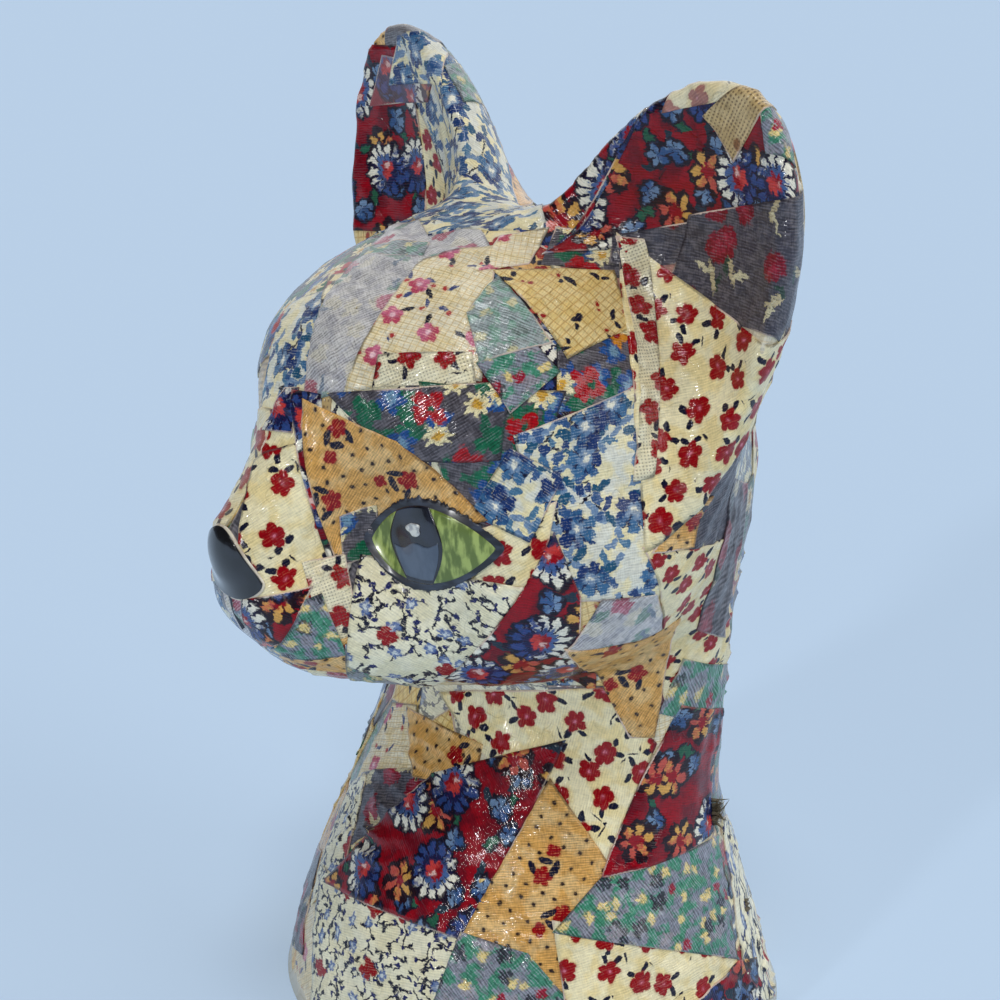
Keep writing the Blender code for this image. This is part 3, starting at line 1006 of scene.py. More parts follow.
@dataclass
class Buildup:
    """How many layers of cloth lie at each place, felt on a lattice of small cells.

    Each lattice point gathers the area of cloth near it and the area of bare form near
    it. Their quotient is the number of layers, and it changes over about one cell. least
    is the share of a cell's area that is added to the form's, so far from it there are none.
    """

    low: Array
    size: Array
    cell: float = 0.0016
    most: float = 6.0
    least: float = 0.05
    shape: tuple[int, ...] = field(init=False)
    cloth_area: Array = field(init=False)
    form_area: Array = field(init=False)

    def __post_init__(self) -> None:
        """Makes both lattices empty."""
        self.shape = tuple(np.ceil(self.size / self.cell).astype(int) + 3)
        self.cloth_area = np.zeros(int(np.prod(self.shape)))
        self.form_area = np.full(int(np.prod(self.shape)), 1e-12)

    def shares(self, points: Array) -> tuple[Array, Array]:
        """Finds the eight lattice points around each place, and its share in each.

        Args:
            points: Places within the lattice.

        Returns:
            Lattice numbers and shares, eight of each a place.
        """
        # One spare cell lies all round, so that every place has its eight points.
        scaled = (points - self.low) / self.cell + 1.0
        scaled = np.clip(scaled, 0.0, np.array(self.shape) - 1.001)
        whole = np.floor(scaled).astype(int)
        part = scaled - whole
        numbers, shares = [], []
        for corner in np.ndindex(2, 2, 2):
            numbers.append(np.ravel_multi_index(tuple((whole + corner).T), self.shape))
            shares.append(np.where(np.array(corner), part, 1.0 - part).prod(axis=-1))
        return np.stack(numbers, axis=-1), np.stack(shares, axis=-1)

    def gather(self, lattice: Array, points: Array, areas: Array) -> None:
        """Adds areas at places to one of the lattices."""
        numbers, shares = self.shares(points)
        weights = (shares * areas[:, None]).ravel()
        lattice += np.bincount(numbers.ravel(), weights=weights, minlength=lattice.size)

    def layers(self, points: Array) -> Array:
        """Reads how many layers of cloth lie at each place."""
        numbers, shares = self.shares(points)
        cloth = (self.cloth_area[numbers] * shares).sum(axis=-1)
        form = (self.form_area[numbers] * shares).sum(axis=-1)
        return np.minimum(cloth / (form + self.least * self.cell**2), self.most)


def grid_faces(rows: int, columns: int) -> Array:
    """Numbers the squares of a grid whose points run row by row, each anticlockwise."""
    low, left = np.meshgrid(np.arange(rows - 1), np.arange(columns - 1), indexing="ij")
    corner = (low * columns + left).ravel()
    return np.stack([corner, corner + 1, corner + columns + 1, corner + columns], axis=-1)


def grid_border(rows: int, columns: int) -> Array:
    """Numbers the points round a grid's border, anticlockwise from the first."""
    bottom = np.arange(columns)
    right = np.arange(1, rows) * columns + columns - 1
    top = (rows - 1) * columns + np.arange(columns - 2, -1, -1)
    left = np.arange(rows - 2, 0, -1) * columns
    return np.concatenate([bottom, right, top, left])


def coat_faces(rows: int, columns: int) -> Array:
    """Numbers the squares of a grid, and of the cut edge that closes it all round.

    The edge's lower points come after the grid's own, in the border's order.

    Args:
        rows: Points up the grid.
        columns: Points across it.

    Returns:
        Four point numbers a square.
    """
    border = grid_border(rows, columns)
    ring = rows * columns + np.arange(len(border))
    skirt = np.stack([ring, np.roll(ring, -1), np.roll(border, -1), border], axis=-1)
    return np.concatenate([grid_faces(rows, columns), skirt])


def put_in_scene(name: str, data: bpy.types.ID) -> bpy.types.Object:
    """Makes an object at the origin from its data and links it to the scene."""
    item = bpy.data.objects.new(name, data)
    bpy.context.scene.collection.objects.link(item)
    return item


def make_piece(name: str, verts: Array, faces: list[list[int]], charts: dict[str, Array],
               marks: dict[str, Array]) -> bpy.types.Object:
    """Puts a surface into a new object at the origin, shaded smooth.

    Args:
        name: The piece's name.
        verts: Places of its points.
        faces: Point numbers of its faces.
        charts: Flat coordinates of each point, by UV map name.
        marks: A number for each point, by attribute name.

    Returns:
        The object, already in the scene.
    """
    mesh = bpy.data.meshes.new(name)
    mesh.from_pydata(verts.tolist(), [], faces)
    corners = np.empty(len(mesh.loops), dtype=np.int32)
    mesh.loops.foreach_get("vertex_index", corners)
    for chart, flat in charts.items():
        layer = mesh.uv_layers.new(name=chart)
        layer.data.foreach_set("uv", flat[corners].astype(np.float32).ravel())
    for mark, values in marks.items():
        attribute = mesh.attributes.new(mark, "FLOAT", "POINT")
        attribute.data.foreach_set("value", values.astype(np.float32))
    mesh.shade_smooth()
    return put_in_scene(name, mesh)


def read_points(mesh: bpy.types.Mesh, what: str = "co") -> Array:
    """Reads the place, or another row of three numbers, of each of a mesh's points."""
    rows = np.empty(len(mesh.vertices) * 3, dtype=np.float32)
    mesh.vertices.foreach_get(what, rows)
    return rows.reshape(-1, 3).astype(float)


@dataclass(frozen=True)
class Glaze:
    """The casting's own cream glaze, with a fine crackle and faint mottling."""

    body: Colour = dye(232, 222, 196)
    stain: Colour = dye(196, 176, 138)

    def build(self) -> bpy.types.Material:
        """Makes the material."""
        graph = Graph("cream_glaze")
        at = graph.put("ShaderNodeTexCoord", {}, "Object")
        mottle = graph.put("ShaderNodeTexNoise", {"Vector": at, "Scale": 90.0, "Detail": 4.0})
        crackle = graph.put("ShaderNodeTexVoronoi", {"Vector": at, "Scale": 210.0},
                            feature="DISTANCE_TO_EDGE")
        colour = graph.blend(graph.fade(mottle, 0.4, 0.75), self.body, self.stain)
        line = graph.times(graph.fade(crackle, 0.035, 0.0), 0.45)
        graph.dress("Base Color", graph.blend(line, colour, self.stain))
        graph.dress("Normal", graph.bump(mottle, 0.15, 0.0001))
        graph.finish(0.2, 0.5, 0.05)
        return graph.material


@dataclass
class Casting:
    """The glazed casting itself, which shows wherever two scraps leave a gap."""

    form: CatForm
    glaze: Glaze = Glaze()
    cuts: int = 2
    inset: float = CLOTH_ROOM

    def build(self) -> bpy.types.Object:
        """Copies the CAD casting, merges its triangles, divides them and settles them.

        The casting lies a little inside the form, to leave room for the cloth. Points of
        the flat underside keep their height.

        Returns:
            The casting as a fine closed mesh.
        """
        mesh = bmesh.new()
        mesh.from_mesh(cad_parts[NODE].data)
        bmesh.ops.remove_doubles(mesh, verts=mesh.verts[:], dist=1e-6)
        bmesh.ops.subdivide_edges(
            mesh, edges=mesh.edges[:], cuts=self.cuts, use_grid_fill=True)
        data = bpy.data.meshes.new("casting")
        mesh.to_mesh(data)
        mesh.free()
        points = read_points(data)
        above = points[:, 2] > 1e-5
        settled, outward = self.form.settle(points[above])
        points[above] = settled - outward * self.inset
        points[above, 2] = np.maximum(points[above, 2], 0.0)
        data.vertices.foreach_set("co", points.astype(np.float32).ravel())
        data.shade_smooth()
        data.materials.append(self.glaze.build())
        piece = put_in_scene("casting", data)
        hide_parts(NODE)
        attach(piece, "root")
        return piece


def area_points(piece: bpy.types.Object) -> tuple[Array, Array, Array]:
    """Reads a piece's points, their normals and the area that belongs to each.

    Args:
        piece: A piece with its place in its mesh.

    Returns:
        Places, unit normals, and a third of the area of the triangles round each.
    """
    data = piece.data
    points = read_points(data)
    data.calc_loop_triangles()
    corners = np.empty(len(data.loop_triangles) * 3, dtype=np.int32)
    data.loop_triangles.foreach_get("vertices", corners)
    corners = corners.reshape(-1, 3)
    a, b, c = (points[corners[:, k]] for k in range(3))
    third = np.linalg.norm(np.cross(b - a, c - a), axis=-1) / 6
    areas = sum(np.bincount(corners[:, k], weights=third, minlength=len(points)) for k in range(3))
    return points, read_points(data, "normal"), areas


@dataclass
class Patchwork:
    """All the scraps: first an underlayer over the bare form, then the chosen ones.

    Each scrap is a grid of coarse by coarse points, divided to fine by fine. A scrap that
    is squeezed below tightest somewhere is cut down and laid again. Its waves fade within
    edge_flat of the cut edge, whose foot counts as past_edge outside the scrap, and what
    hangs below the underside is turned in as a lip. The underlayer's squares lie about
    spacing apart, where turn_counts is what a turn of the surface adds to a distance, and
    a cloth is seldom used twice within neighbours.
    """

    form: CatForm
    chosen: tuple[Scrap, ...]
    thickness: float = CLOTH_THICKNESS
    inset: float = CLOTH_ROOM
    fine: int = 37
    coarse: int = 12
    tightest: float = 0.35
    cut_down: float = 0.86
    lip: float = 0.0015
    edge_flat: float = 0.003
    past_edge: float = 0.0004
    wave_height: float = 0.00002
    wave_lengths: Pair = (0.005, 0.011)
    spacing: float = 0.0165
    turn_counts: float = 0.012
    neighbours: float = 0.03
    bare_below: float = 0.9
    square_sides: Pair = (25.0, 31.0)
    seed: int = 12

    def axes_at(self, scraps: list[Scrap]) -> tuple[Array, Array, Array]:
        """Finds the middle of each scrap on the form, and its directions right and up."""
        middles = np.array([scrap.at for scrap in scraps]) * MM
        middles, normals = self.form.settle(middles, 6)
        return middles, *surface_axes(normals)

    def flat_grids(self, corners: Array, count: int) -> Array:
        """Spreads a grid over each scrap: a mean of its corners, by share across and up.

        Args:
            corners: Four corners a scrap, on the flat cloth.
            count: Points along each edge.

        Returns:
            Points on the flat cloth, scrap by row by column.
        """
        share = np.linspace(0.0, 1.0, count)
        up, across = np.meshgrid(share, share, indexing="ij")
        weights = np.stack([(1 - across) * (1 - up), across * (1 - up), across * up,
                            (1 - across) * up], axis=-1)
        return np.einsum("rcw,swk->srck", weights, corners)

    def lay(self, scraps: list[Scrap]) -> tuple[Array, Array, Array]:
        """Walks every scrap out over the form, smaller where it would fold on itself.

        Args:
            scraps: The scraps to lay.

        Returns:
            Places and normals of the fine grids, and their points on the flat cloth.
        """
        corners = np.stack([scrap.corners() for scrap in scraps])
        axes = self.axes_at(scraps)
        places = np.empty((len(scraps), self.coarse, self.coarse, 3))
        todo = np.arange(len(scraps))
        for _ in range(6):
            flat = self.flat_grids(corners[todo], self.coarse)
            start, right, up = (np.repeat(rows[todo], self.coarse**2, axis=0) for rows in axes)
            walked = self.form.walk(start, (right, up), flat.reshape(-1, 2))
            places[todo] = walked.reshape(-1, self.coarse, self.coarse, 3)
            folded = self.fold(places[todo], flat) < self.tightest
            if not folded.any():
                break
            todo = todo[folded]
            corners[todo] *= self.cut_down
        finer = self.finer()
        places = np.einsum("ra,cb,sabk->srck", finer, finer, places)
        shape = places.shape
        settled, normals = self.form.settle(places.reshape(-1, 3), 3)
        return settled.reshape(shape), normals.reshape(shape), self.flat_grids(corners, self.fine)

    def fold(self, places: Array, flat: Array) -> Array:
        """Finds how far each scrap is squeezed at its worst: area on the form over flat area.

        Args:
            places: Each scrap's grid on the form.
            flat: The same grid on the flat cloth.

        Returns:
            The smallest quotient of each scrap, less than nothing where it folds over.
        """
        wide = places[:, :-1, 1:] - places[:, :-1, :-1]
        tall = places[:, 1:, :-1] - places[:, :-1, :-1]
        middle = places[:, :-1, :-1] + 0.5 * (wide + tall)
        _, normals = self.form.settle(middle.reshape(-1, 3), 1)
        area = (np.cross(wide, tall) * normals.reshape(wide.shape)).sum(axis=-1)
        flat_wide = flat[:, :-1, 1:] - flat[:, :-1, :-1]
        flat_tall = flat[:, 1:, :-1] - flat[:, :-1, :-1]
        flat_area = flat_wide[..., 0] * flat_tall[..., 1] - flat_wide[..., 1] * flat_tall[..., 0]
        return (area / np.maximum(flat_area, 1e-9)).min(axis=(1, 2))

    def finer(self) -> Array:
        """Gives the weights that carry a coarse row to a fine one by cubic steps."""
        place = np.linspace(0.0, self.coarse - 1.0, self.fine)
        low = np.clip(place.astype(int), 0, self.coarse - 2)
        t = place - low
        weights = np.zeros((self.fine, self.coarse + 2))
        rows = np.arange(self.fine)
        for shift, part in enumerate((
                -0.5 * t + t**2 - 0.5 * t**3, 1 - 2.5 * t**2 + 1.5 * t**3,
                0.5 * t + 2 * t**2 - 1.5 * t**3, -0.5 * t**2 + 0.5 * t**3)):
            weights[rows, low + shift] += part
        weights[:, 1] += 2 * weights[:, 0]
        weights[:, 2] -= weights[:, 0]
        weights[:, -2] += 2 * weights[:, -1]
        weights[:, -3] -= weights[:, -1]
        return weights[:, 1:-1]

    def cell_areas(self, places: Array) -> Array:
        """Finds the area that belongs to each point of a scrap: the cross of its two steps.

        Args:
            places: The scrap's grid on the form.

        Returns:
            An area for each point, row by row.
        """
        wide = np.gradient(places, axis=1)
        tall = np.gradient(places, axis=0)
        areas = np.linalg.norm(np.cross(wide, tall), axis=-1)
        areas[[0, -1]] *= 0.5
        areas[:, [0, -1]] *= 0.5
        return areas.ravel()

    def underlayer(self, casting: tuple[Array, Array, Array], buildup: Buildup) -> list[Scrap]:
        """Covers what the chosen scraps leave bare with squares cut from every cloth.

        Each new square goes where the form is furthest from the squares before it. The
        distance counts a turn of the surface too, so both walls of an ear are covered. A
        cloth scores by how often it lies near, by luck, and more if it is a gauze. The
        lowest score wins.

        Args:
            casting: Places, normals and areas of the casting's points.
            buildup: The cloth that the chosen scraps lay.

        Returns:
            The squares, from the first to the last.
        """
        random = np.random.default_rng(self.seed)
        places, normals, _ = casting
        bare = (places[:, 2] > 0.0005) & (buildup.layers(places) < self.bare_below)
        spots = np.concatenate([places, normals * self.turn_counts], axis=-1)[bare]
        taken = [(np.array(scrap.at) * MM, scrap.cloth) for scrap in self.chosen]
        away = np.full(len(spots), 1.0)
        squares: list[Scrap] = []
        latest = int(spots[:, 2].argmax())
        while away.max() > self.spacing:
            here = spots[latest, :3]
            away = np.minimum(away, np.linalg.norm(spots - spots[latest], axis=-1))
            near = [cloth for place, cloth in taken
                    if np.linalg.norm(place - here) < self.neighbours]
            scores = {cloth: near.count(cloth) + random.uniform(0, 0.9)
                      + 0.8 * ("gauze" in cloth.value) for cloth in Cloth}
            cloth = min(scores, key=scores.get)
            taken.append((here, cloth))
            squares.append(Scrap(
                cloth, tuple(here / MM), random.uniform(-50, 50),
                random.uniform(*self.square_sides), random.uniform(*self.square_sides),
                random.uniform(0.75, 1.2),
                (random.uniform(-12, 12), random.uniform(-12, 12)),
                random.choice([1.0, 1.0, 1.0, 1.6]), random.choice([0.0, 0.0, 0.15, 0.35])))
            latest = int(away.argmax())
        order = random.permutation(len(squares))
        return [squares[number] for number in order]

    def drape(self, places: Array, normals: Array, flat: Array, scraps: list[Scrap],
              buildup: Buildup) -> list[dict[str, Array]]:
        """Lifts each scrap in turn by the cloth that it covers, and turns its edge down.

        A point's height is the thickness times one more than the layers below it, with
        a slight waviness. A ring of points below the border closes the cut edge. What
        hangs below the flat underside is turned in under it as a narrow lip.

        Args:
            places: Fine grids on the form.
            normals: Their normals.
            flat: Their points on the flat cloth.
            scraps: The scraps, from the first to the last.
            buildup: The cloth that lies so far, which grows.

        Returns:
            For each scrap its verts, its chart, how far they hang below the underside,
            their distance from the cut edge and their paleness, which on some scraps is a painted
            sheen.
        """
        border = grid_border(self.fine, self.fine)
        laid = []
        for number, scrap in enumerate(scraps):
            ground = places[number].reshape(-1, 3)
            outward = normals[number].reshape(-1, 3)
            cloth = flat[number].reshape(-1, 2)
            below = buildup.layers(ground)
            waves = self.waves(cloth, number)
            edge = self.edge_distance(flat[number])
            slack = np.clip(edge / self.edge_flat, 0.25, 1.0)
            height = self.thickness * (1.0 + below) + waves * slack
            height -= self.inset
            hang = np.maximum(-ground[:, 2], 0.0)
            ground = self.level(ground)
            # The lip's far end sinks one and a half insets in, and the cut edge's foot 1.3 layers.
            height -= (height + 1.5 * self.inset) * np.clip(hang / self.lip, 0.0, 1.0)
            top = ground + outward * height[:, None]
            rim = ground[border] + outward[border] * (
                height[border] - 1.3 * self.thickness)[:, None]
            verts = np.concatenate([top, rim])
            verts[:, 2] = np.maximum(verts[:, 2], 0.0)
            chart = self.chart(cloth, scrap, number)
            laid.append({
                "verts": verts,
                "chart": np.concatenate([chart, chart[border]]),
                "hang": np.concatenate([hang, hang[border]]),
                "edge": np.concatenate([edge, np.full(len(border), -self.past_edge)]) / MM,
                "veil_and_sheen": np.full(len(verts), scrap.veil_and_sheen),
            })
            areas = self.cell_areas(places[number]) * (hang == 0)
            buildup.gather(buildup.cloth_area, ground, areas)
        return laid

    def level(self, ground: Array) -> Array:
        """Brings places below the underside up to its edge, level and on the form.

        Args:
            ground: Places on the form.

        Returns:
            The same places, with none below the underside.
        """
        low = ground[:, 2] < 0.0
        raised = ground[low]
        for _ in range(4 if low.any() else 0):
            raised[:, 2] = 0.0
            raised = self.form.settle(raised, 1)[0]
        lifted = ground.copy()
        lifted[low] = raised
        lifted[low, 2] = 0.0
        return lifted

    def waves(self, cloth: Array, number: int) -> Array:
        """Gives the slack of glued cloth: three long, low sine waves crossing at odd angles.

        Args:
            cloth: Points on the flat cloth.
            number: The scrap's number, which sets its waves.

        Returns:
            How high each point is lifted.
        """
        random = np.random.default_rng(1000 + number)
        height = np.zeros(len(cloth))
        for _ in range(3):
            angle, length = random.uniform(0, math.pi), random.uniform(*self.wave_lengths)
            along = cloth @ np.array([math.cos(angle), math.sin(angle)])
            phase = 2 * math.pi * along / length + random.uniform(0, 6.3)
            height += self.wave_height * np.sin(phase)
        return height

    def edge_distance(self, flat: Array) -> Array:
        """Finds how far each grid point lies from the nearest cut edge of its scrap.

        Args:
            flat: The scrap's grid on the flat cloth.

        Returns:
            A distance for each point, row by row.
        """
        corners = flat[[0, 0, -1, -1], [0, -1, -1, 0]]
        points = flat.reshape(-1, 2)
        away = []
        for start, end in zip(corners, np.roll(corners, -1, axis=0)):
            along = (end - start) / max(np.linalg.norm(end - start), 1e-6)
            step = points - start
            away.append(np.abs(step[:, 1] * along[0] - step[:, 0] * along[1]))
        return np.min(away, axis=0)

    def chart(self, cloth: Array, scrap: Scrap, number: int) -> Array:
        """Lays the print on the cloth: stretched by its pull, then turned and moved.

        Args:
            cloth: Points on the flat cloth.
            scrap: The scrap that they belong to.
            number: The scrap's number, which sets the turn and the shift.

        Returns:
            Print coordinates, in millimetres.
        """
        random = np.random.default_rng(500 + number)
        square = turned(cloth, -scrap.turn) / np.array([1.0, scrap.pull])
        return turned(square, random.uniform(-14, 14)) / MM + random.uniform(100, 900, 2)

    def build(self, casting: bpy.types.Object) -> tuple[list[bpy.types.Object], Buildup]:
        """Makes one piece of all the scraps of each cloth.

        Args:
            casting: The fine casting that they are glued to.

        Returns:
            The pieces, and the cloth that lies on the form.
        """
        surface = area_points(casting)
        low = surface[0].min(axis=0)
        buildup = Buildup(low, surface[0].max(axis=0) - low)
        buildup.gather(buildup.form_area, surface[0], surface[2])
        chosen = self.lay(list(self.chosen))
        for places in chosen[0]:
            buildup.gather(buildup.cloth_area, places.reshape(-1, 3),
                           self.cell_areas(places) * (places[..., 2] > 0).ravel())
        squares = self.underlayer(surface, buildup)
        under = self.lay(squares)
        buildup.cloth_area[:] = 0.0
        scraps = squares + list(self.chosen)
        laid = self.drape(
            *(np.concatenate([first, second]) for first, second in zip(under, chosen)),
            scraps, buildup)
        pieces = []
        for cloth in Cloth:
            own = [laid[number] for number, scrap in enumerate(scraps) if scrap.cloth is cloth]
            pieces.append(self.join(cloth, own))
        LOG.info("%d scraps, %d of them chosen", len(scraps), len(self.chosen))
        return pieces, buildup

    def join(self, cloth: Cloth, laid: list[dict[str, Array]]) -> bpy.types.Object:
        """Joins the scraps of one cloth into one piece, with their cut edges closed.

        Args:
            cloth: The cloth they are cut from.
            laid: The scraps' arrays.

        Returns:
            The piece.
        """
        one = coat_faces(self.fine, self.fine)
        each = len(laid[0]["verts"])
        faces = np.concatenate([one + each * number for number in range(len(laid))])
        verts, chart, hang, edge, veil_and_sheen = (
            np.concatenate([scrap[key] for scrap in laid])
            for key in ("verts", "chart", "hang", "edge", "veil_and_sheen"))
        faces = faces[hang[faces].min(axis=-1) < self.lip]
        kept = np.unique(faces)
        faces = np.searchsorted(kept, faces)
        verts, chart, edge, veil_and_sheen = (values[kept] for values in (verts, chart, edge, veil_and_sheen))
        piece = make_piece(f"scraps_{cloth.value}", verts, faces.tolist(), {"cloth": chart},
                           {"edge": edge, "veil_and_sheen": veil_and_sheen})
        piece.data.materials.append(PRINTS[cloth].build(cloth.value))
        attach(piece, "root")
        return piece


# From the first to the last: far ear, crown, forehead, face, cheek, near ear, neck, breast,
# and two more that lap over the crown. Each scrap's number sets how its print lies.
CHOSEN: tuple[Scrap, ...] = tuple(Scrap(*row) for row in (
    (Cloth.CRIMSON_DAISY, (-45, 12.5, 139), 10, 32, 20, 0.8),
    (Cloth.BLUE_LEAF, (-19, 6, 143), 22, 36, 32, 0.75, (-8, -8)),
    (Cloth.CRIMSON_DAISY, (-38, 12, 149.5), -35, 9, 17, 1.1, (41, 31), 1.0, 0.25),
    (Cloth.BLUE_LEAF, (-33.5, 10.5, 154.5), -7, 9, 21, 0.6, (6, 14)),
    (Cloth.GREEN_SHEER, (-24, 14, 151), 20, 8, 10, 0.7, (0, 6), 1.0, 0.3),
    (Cloth.BLUE_LEAF, (-20, -1, 132), 30, 18, 16, 1.0),
    (Cloth.CRIMSON_DAISY, (15.8, 8.5, 142), -24, 27, 15, 0.9, (8, 30)),
    (Cloth.GREY_GAUZE, (-1, -12, 135), 48, 15, 24, 0.6, (-10, -20)),
    (Cloth.GREEN_SHEER, (-1, -18.5, 132), 40, 9.5, 12, 1.0, (6, -16), 1.0, 0.35),
    (Cloth.BLUE_LEAF, (-3, -35, 121), 22, 19, 17, 0.9),
    (Cloth.RED_SPRIG, (-2, -27, 128), 50, 10, 7, 0.9, (-30, -30), 1.0, 0.2),
    (Cloth.GREY_GAUZE, (4.5, -29, 125.5), 17, 27, 9.5, 1.5, (13, 0), 1.0, 0.1),
    (Cloth.PINK_CHECK, (14.5, -21.5, 127.5), 15, 26, 21.5, 0.55, (14, 30)),
    (Cloth.WHITE_GAUZE, (19.5, -27, 120), 24, 5, 15.5, 0.9),
    (Cloth.CHARCOAL_DAISY, (19, 4, 132.5), 14, 7.5, 13, 0.85, (7, 0)),
    (Cloth.CHARCOAL_DAISY, (33, -5, 119), 18, 12, 14, 1.0, (7, 21)),
    (Cloth.CHARCOAL_DAISY, (29, -22.5, 109.5), 20, 17.5, 10.5, 2.1, (12, 0)),
    (Cloth.CHARCOAL_DAISY, (23, -28.5, 112.5), 46, 12, 15, 1.9, (-22, -19)),
    (Cloth.GREEN_SHEER, (28.5, -16.5, 120), 59, 8, 10, 0.9, (5, -6)),
    (Cloth.GREEN_SHEER, (22.5, -15.5, 126), 51, 11.5, 11.5, 0.78, (-4, 33), 1.0, 0.5),
    (Cloth.GOLD_CHECK, (25.5, -3, 127.5), 45, 14.5, 12.5, 1.5, (11, -20)),
    (Cloth.BLUE_LEAF, (37.5, -9, 100), 34, 29, 17, 1.3, (-13, 9)),
    (Cloth.RED_SPRIG, (33, -22, 91.5), 13, 17, 12, 1.0, (45, 29)),
    (Cloth.BLUE_LEAF, (32, -19.5, 102.5), -6, 11, 9.7, 0.95, (4, 1)),
    (Cloth.RED_SPRIG, (2, -42, 109), 34, 12, 9, 1.0, (-15, -13)),
    (Cloth.RED_SPRIG, (-4, -43, 97), 5, 27, 15, 0.8, (0, 0), 1.0, 0.15),
    (Cloth.RED_SPRIG, (8, -44.5, 96), 29, 24, 17, 0.55, (-2, 5)),
    (Cloth.CRIMSON_DAISY, (1, -40, 112), -2, 7, 6.5, 0.5, (14, 16)),
    (Cloth.CRIMSON_DAISY, (10, -39, 101.5), 37, 29, 7, 0.8, (60, -18)),
    (Cloth.TAN_DOT, (15.5, -32.5, 103.5), 50, 19.5, 27.5, 0.6, (-8, -45)),
    (Cloth.CHARCOAL_DAISY, (12, -33.5, 94), 27, 7.5, 6, 1.0, (18, 16)),
    (Cloth.WHITE_GAUZE, (14.5, -40, 85.5), 33, 13.5, 6, 1.1, (-15, -2)),
    (Cloth.RED_SPRIG, (8, -34, 72), 62, 22, 11, 1.0, (0, 0), 2.2),
    (Cloth.GREY_GAUZE, (1, -49, 80), 0, 10, 5, 1.4, (-14, 0)),
    (Cloth.CRIMSON_DAISY, (8, -48, 81.5), 1, 10, 10, 1.25, (40, 29)),
    (Cloth.TAN_DOT, (10.5, -41, 74.5), 41, 8, 12, 1.1, (15, 14)),
    (Cloth.GREEN_SHEER, (13, -43.5, 80.5), 20, 12, 13, 0.2, (21, 25)),
    (Cloth.GREEN_SHEER, (13.5, -29, 69), 80, 25, 28, 0.3, (-60, -7), 2.0, 0.2),
    (Cloth.NAVY_VINE, (21.5, -31, 80), 0, 23, 15, 1.7, (-16, 16)),
    (Cloth.CRIMSON_DAISY, (30.5, -13.5, 72), 48, 17, 24, 0.7, (-22, 8), 1.2),
    (Cloth.CRIMSON_DAISY, (34, -17, 78), 19, 30.5, 23.5, 0.47, (-17, -53)),
    (Cloth.GREY_GAUZE, (40.5, -5.5, 81), 32, 10, 19, 0.5, (4, -5)),
    (Cloth.SLATE_SCROLL, (45.5, 10.5, 97), 41, 17, 16, 1.0, (-27, 41)),
    (Cloth.RED_SPRIG, (37.5, 13.5, 75), 50, 35, 20, 1.2, (-37, -34), 0.7),
    (Cloth.SLATE_SCROLL, (40, 21, 84), 24, 26, 9, 1.3, (-20, -20), 2.2, 0.25),
    (Cloth.TAN_DOT, (42, 4, 96), -3, 9, 8, 0.4, (28, 38)),
    (Cloth.GREEN_SHEER, (34, 19, 61), 23, 10, 21, 0.8, (-15, -16), 1.4, 0.1),
    (Cloth.CRIMSON_DAISY, (22.5, 9.5, 143), -18, 28, 12, 0.9, (59, 40)),
    (Cloth.CRIMSON_DAISY, (35, 12, 148.5), -1, 22, 51, 0.36, (26, 21)),
    (Cloth.RED_SPRIG, (36.5, 10.5, 158), 10, 3.5, 16, 0.8, (12, 14), 1.0, 0.3),
    (Cloth.GREEN_SHEER, (49, 13.5, 154.5), 14, 8.5, 7, 0.75, (-14, 16)),
    (Cloth.SLATE_SCROLL, (28, 11.5, 134), 6, 6, 17, 1.1, (14, 19)),
    (Cloth.SLATE_SCROLL, (45, 12.5, 134), -1, 17.5, 37, 0.7, (-3, 11)),
    (Cloth.TAN_GAUZE, (42, 11.5, 155.5), 56, 6.5, 13.5, 0.7, (1, -14)),
    (Cloth.RED_SPRIG, (44, 8.5, 114), 16, 27.5, 28, 1.6, (36, -33)),
    (Cloth.WHITE_GAUZE, (33, 4, 120), 19, 38, 3.2, 1.4, (17, -18)),
    (Cloth.PINK_CHECK, (-9, -14.5, 47), 8, 13, 22, 0.4, (11, 5)),
    (Cloth.SLATE_SCROLL, (-5.5, -19, 39), 18, 10, 26, 0.75, (21, 3)),
    (Cloth.NAVY_VINE, (-15.5, -21, 29), 7, 20, 14, 0.65, (34, 13)),
    (Cloth.RED_SPRIG, (25, -4, 54.5), 70, 27, 21, 1.5, (19, -42)),
    (Cloth.TAN_DOT, (4, -14, 49.5), 31, 9.5, 12.5, 1.6, (-16, -29)),
    (Cloth.TAN_DOT, (32.5, 2.5, 68), 49, 26, 4, 5.5, (-19, -29)),
    (Cloth.NAVY_VINE, (4, -28, 17.5), 14, 18, 35, 1.1, (11, -7)),
    (Cloth.SLATE_SCROLL, (-25, -20, 12), 5, 18, 16, 0.9),
    (Cloth.CRIMSON_DAISY, (9, -19, 38.5), -19, 33, 35.5, 0.7, (27, 54)),
    (Cloth.TAN_DOT, (29.5, -10.5, 32), -2, 25, 22, 0.9, (-3, -30)),
    (Cloth.GREEN_SHEER, (26, -19, 20.5), 28, 10, 23, 0.5, (-3, -20)),
    (Cloth.RED_SPRIG, (41.5, 5, 18), 9, 12, 33, 1.3, (6, -1)),
    (Cloth.GREEN_SHEER, (38.5, 8, 29.5), 8, 15, 38, 0.7, (0, 21)),
    (Cloth.CRIMSON_DAISY, (35, 15, 46.5), 7, 25, 25.5, 0.6, (22, 0)),
    (Cloth.NAVY_VINE, (38, 35, 20), 5, 32, 14, 1.0, (0, 0), 2.0),
    (Cloth.CRIMSON_DAISY, (41, 22.5, 11), -31, 9, 21, 0.4, (34, 39)),
    (Cloth.BLUE_LEAF, (-2.5, -0.5, 135.5), 53, 20, 18, 1.6, (-20, -40), 0.6),
    (Cloth.PINK_CHECK, (13, -5.5, 133), 10, 9.5, 9, 0.85, (43, 35)),
))


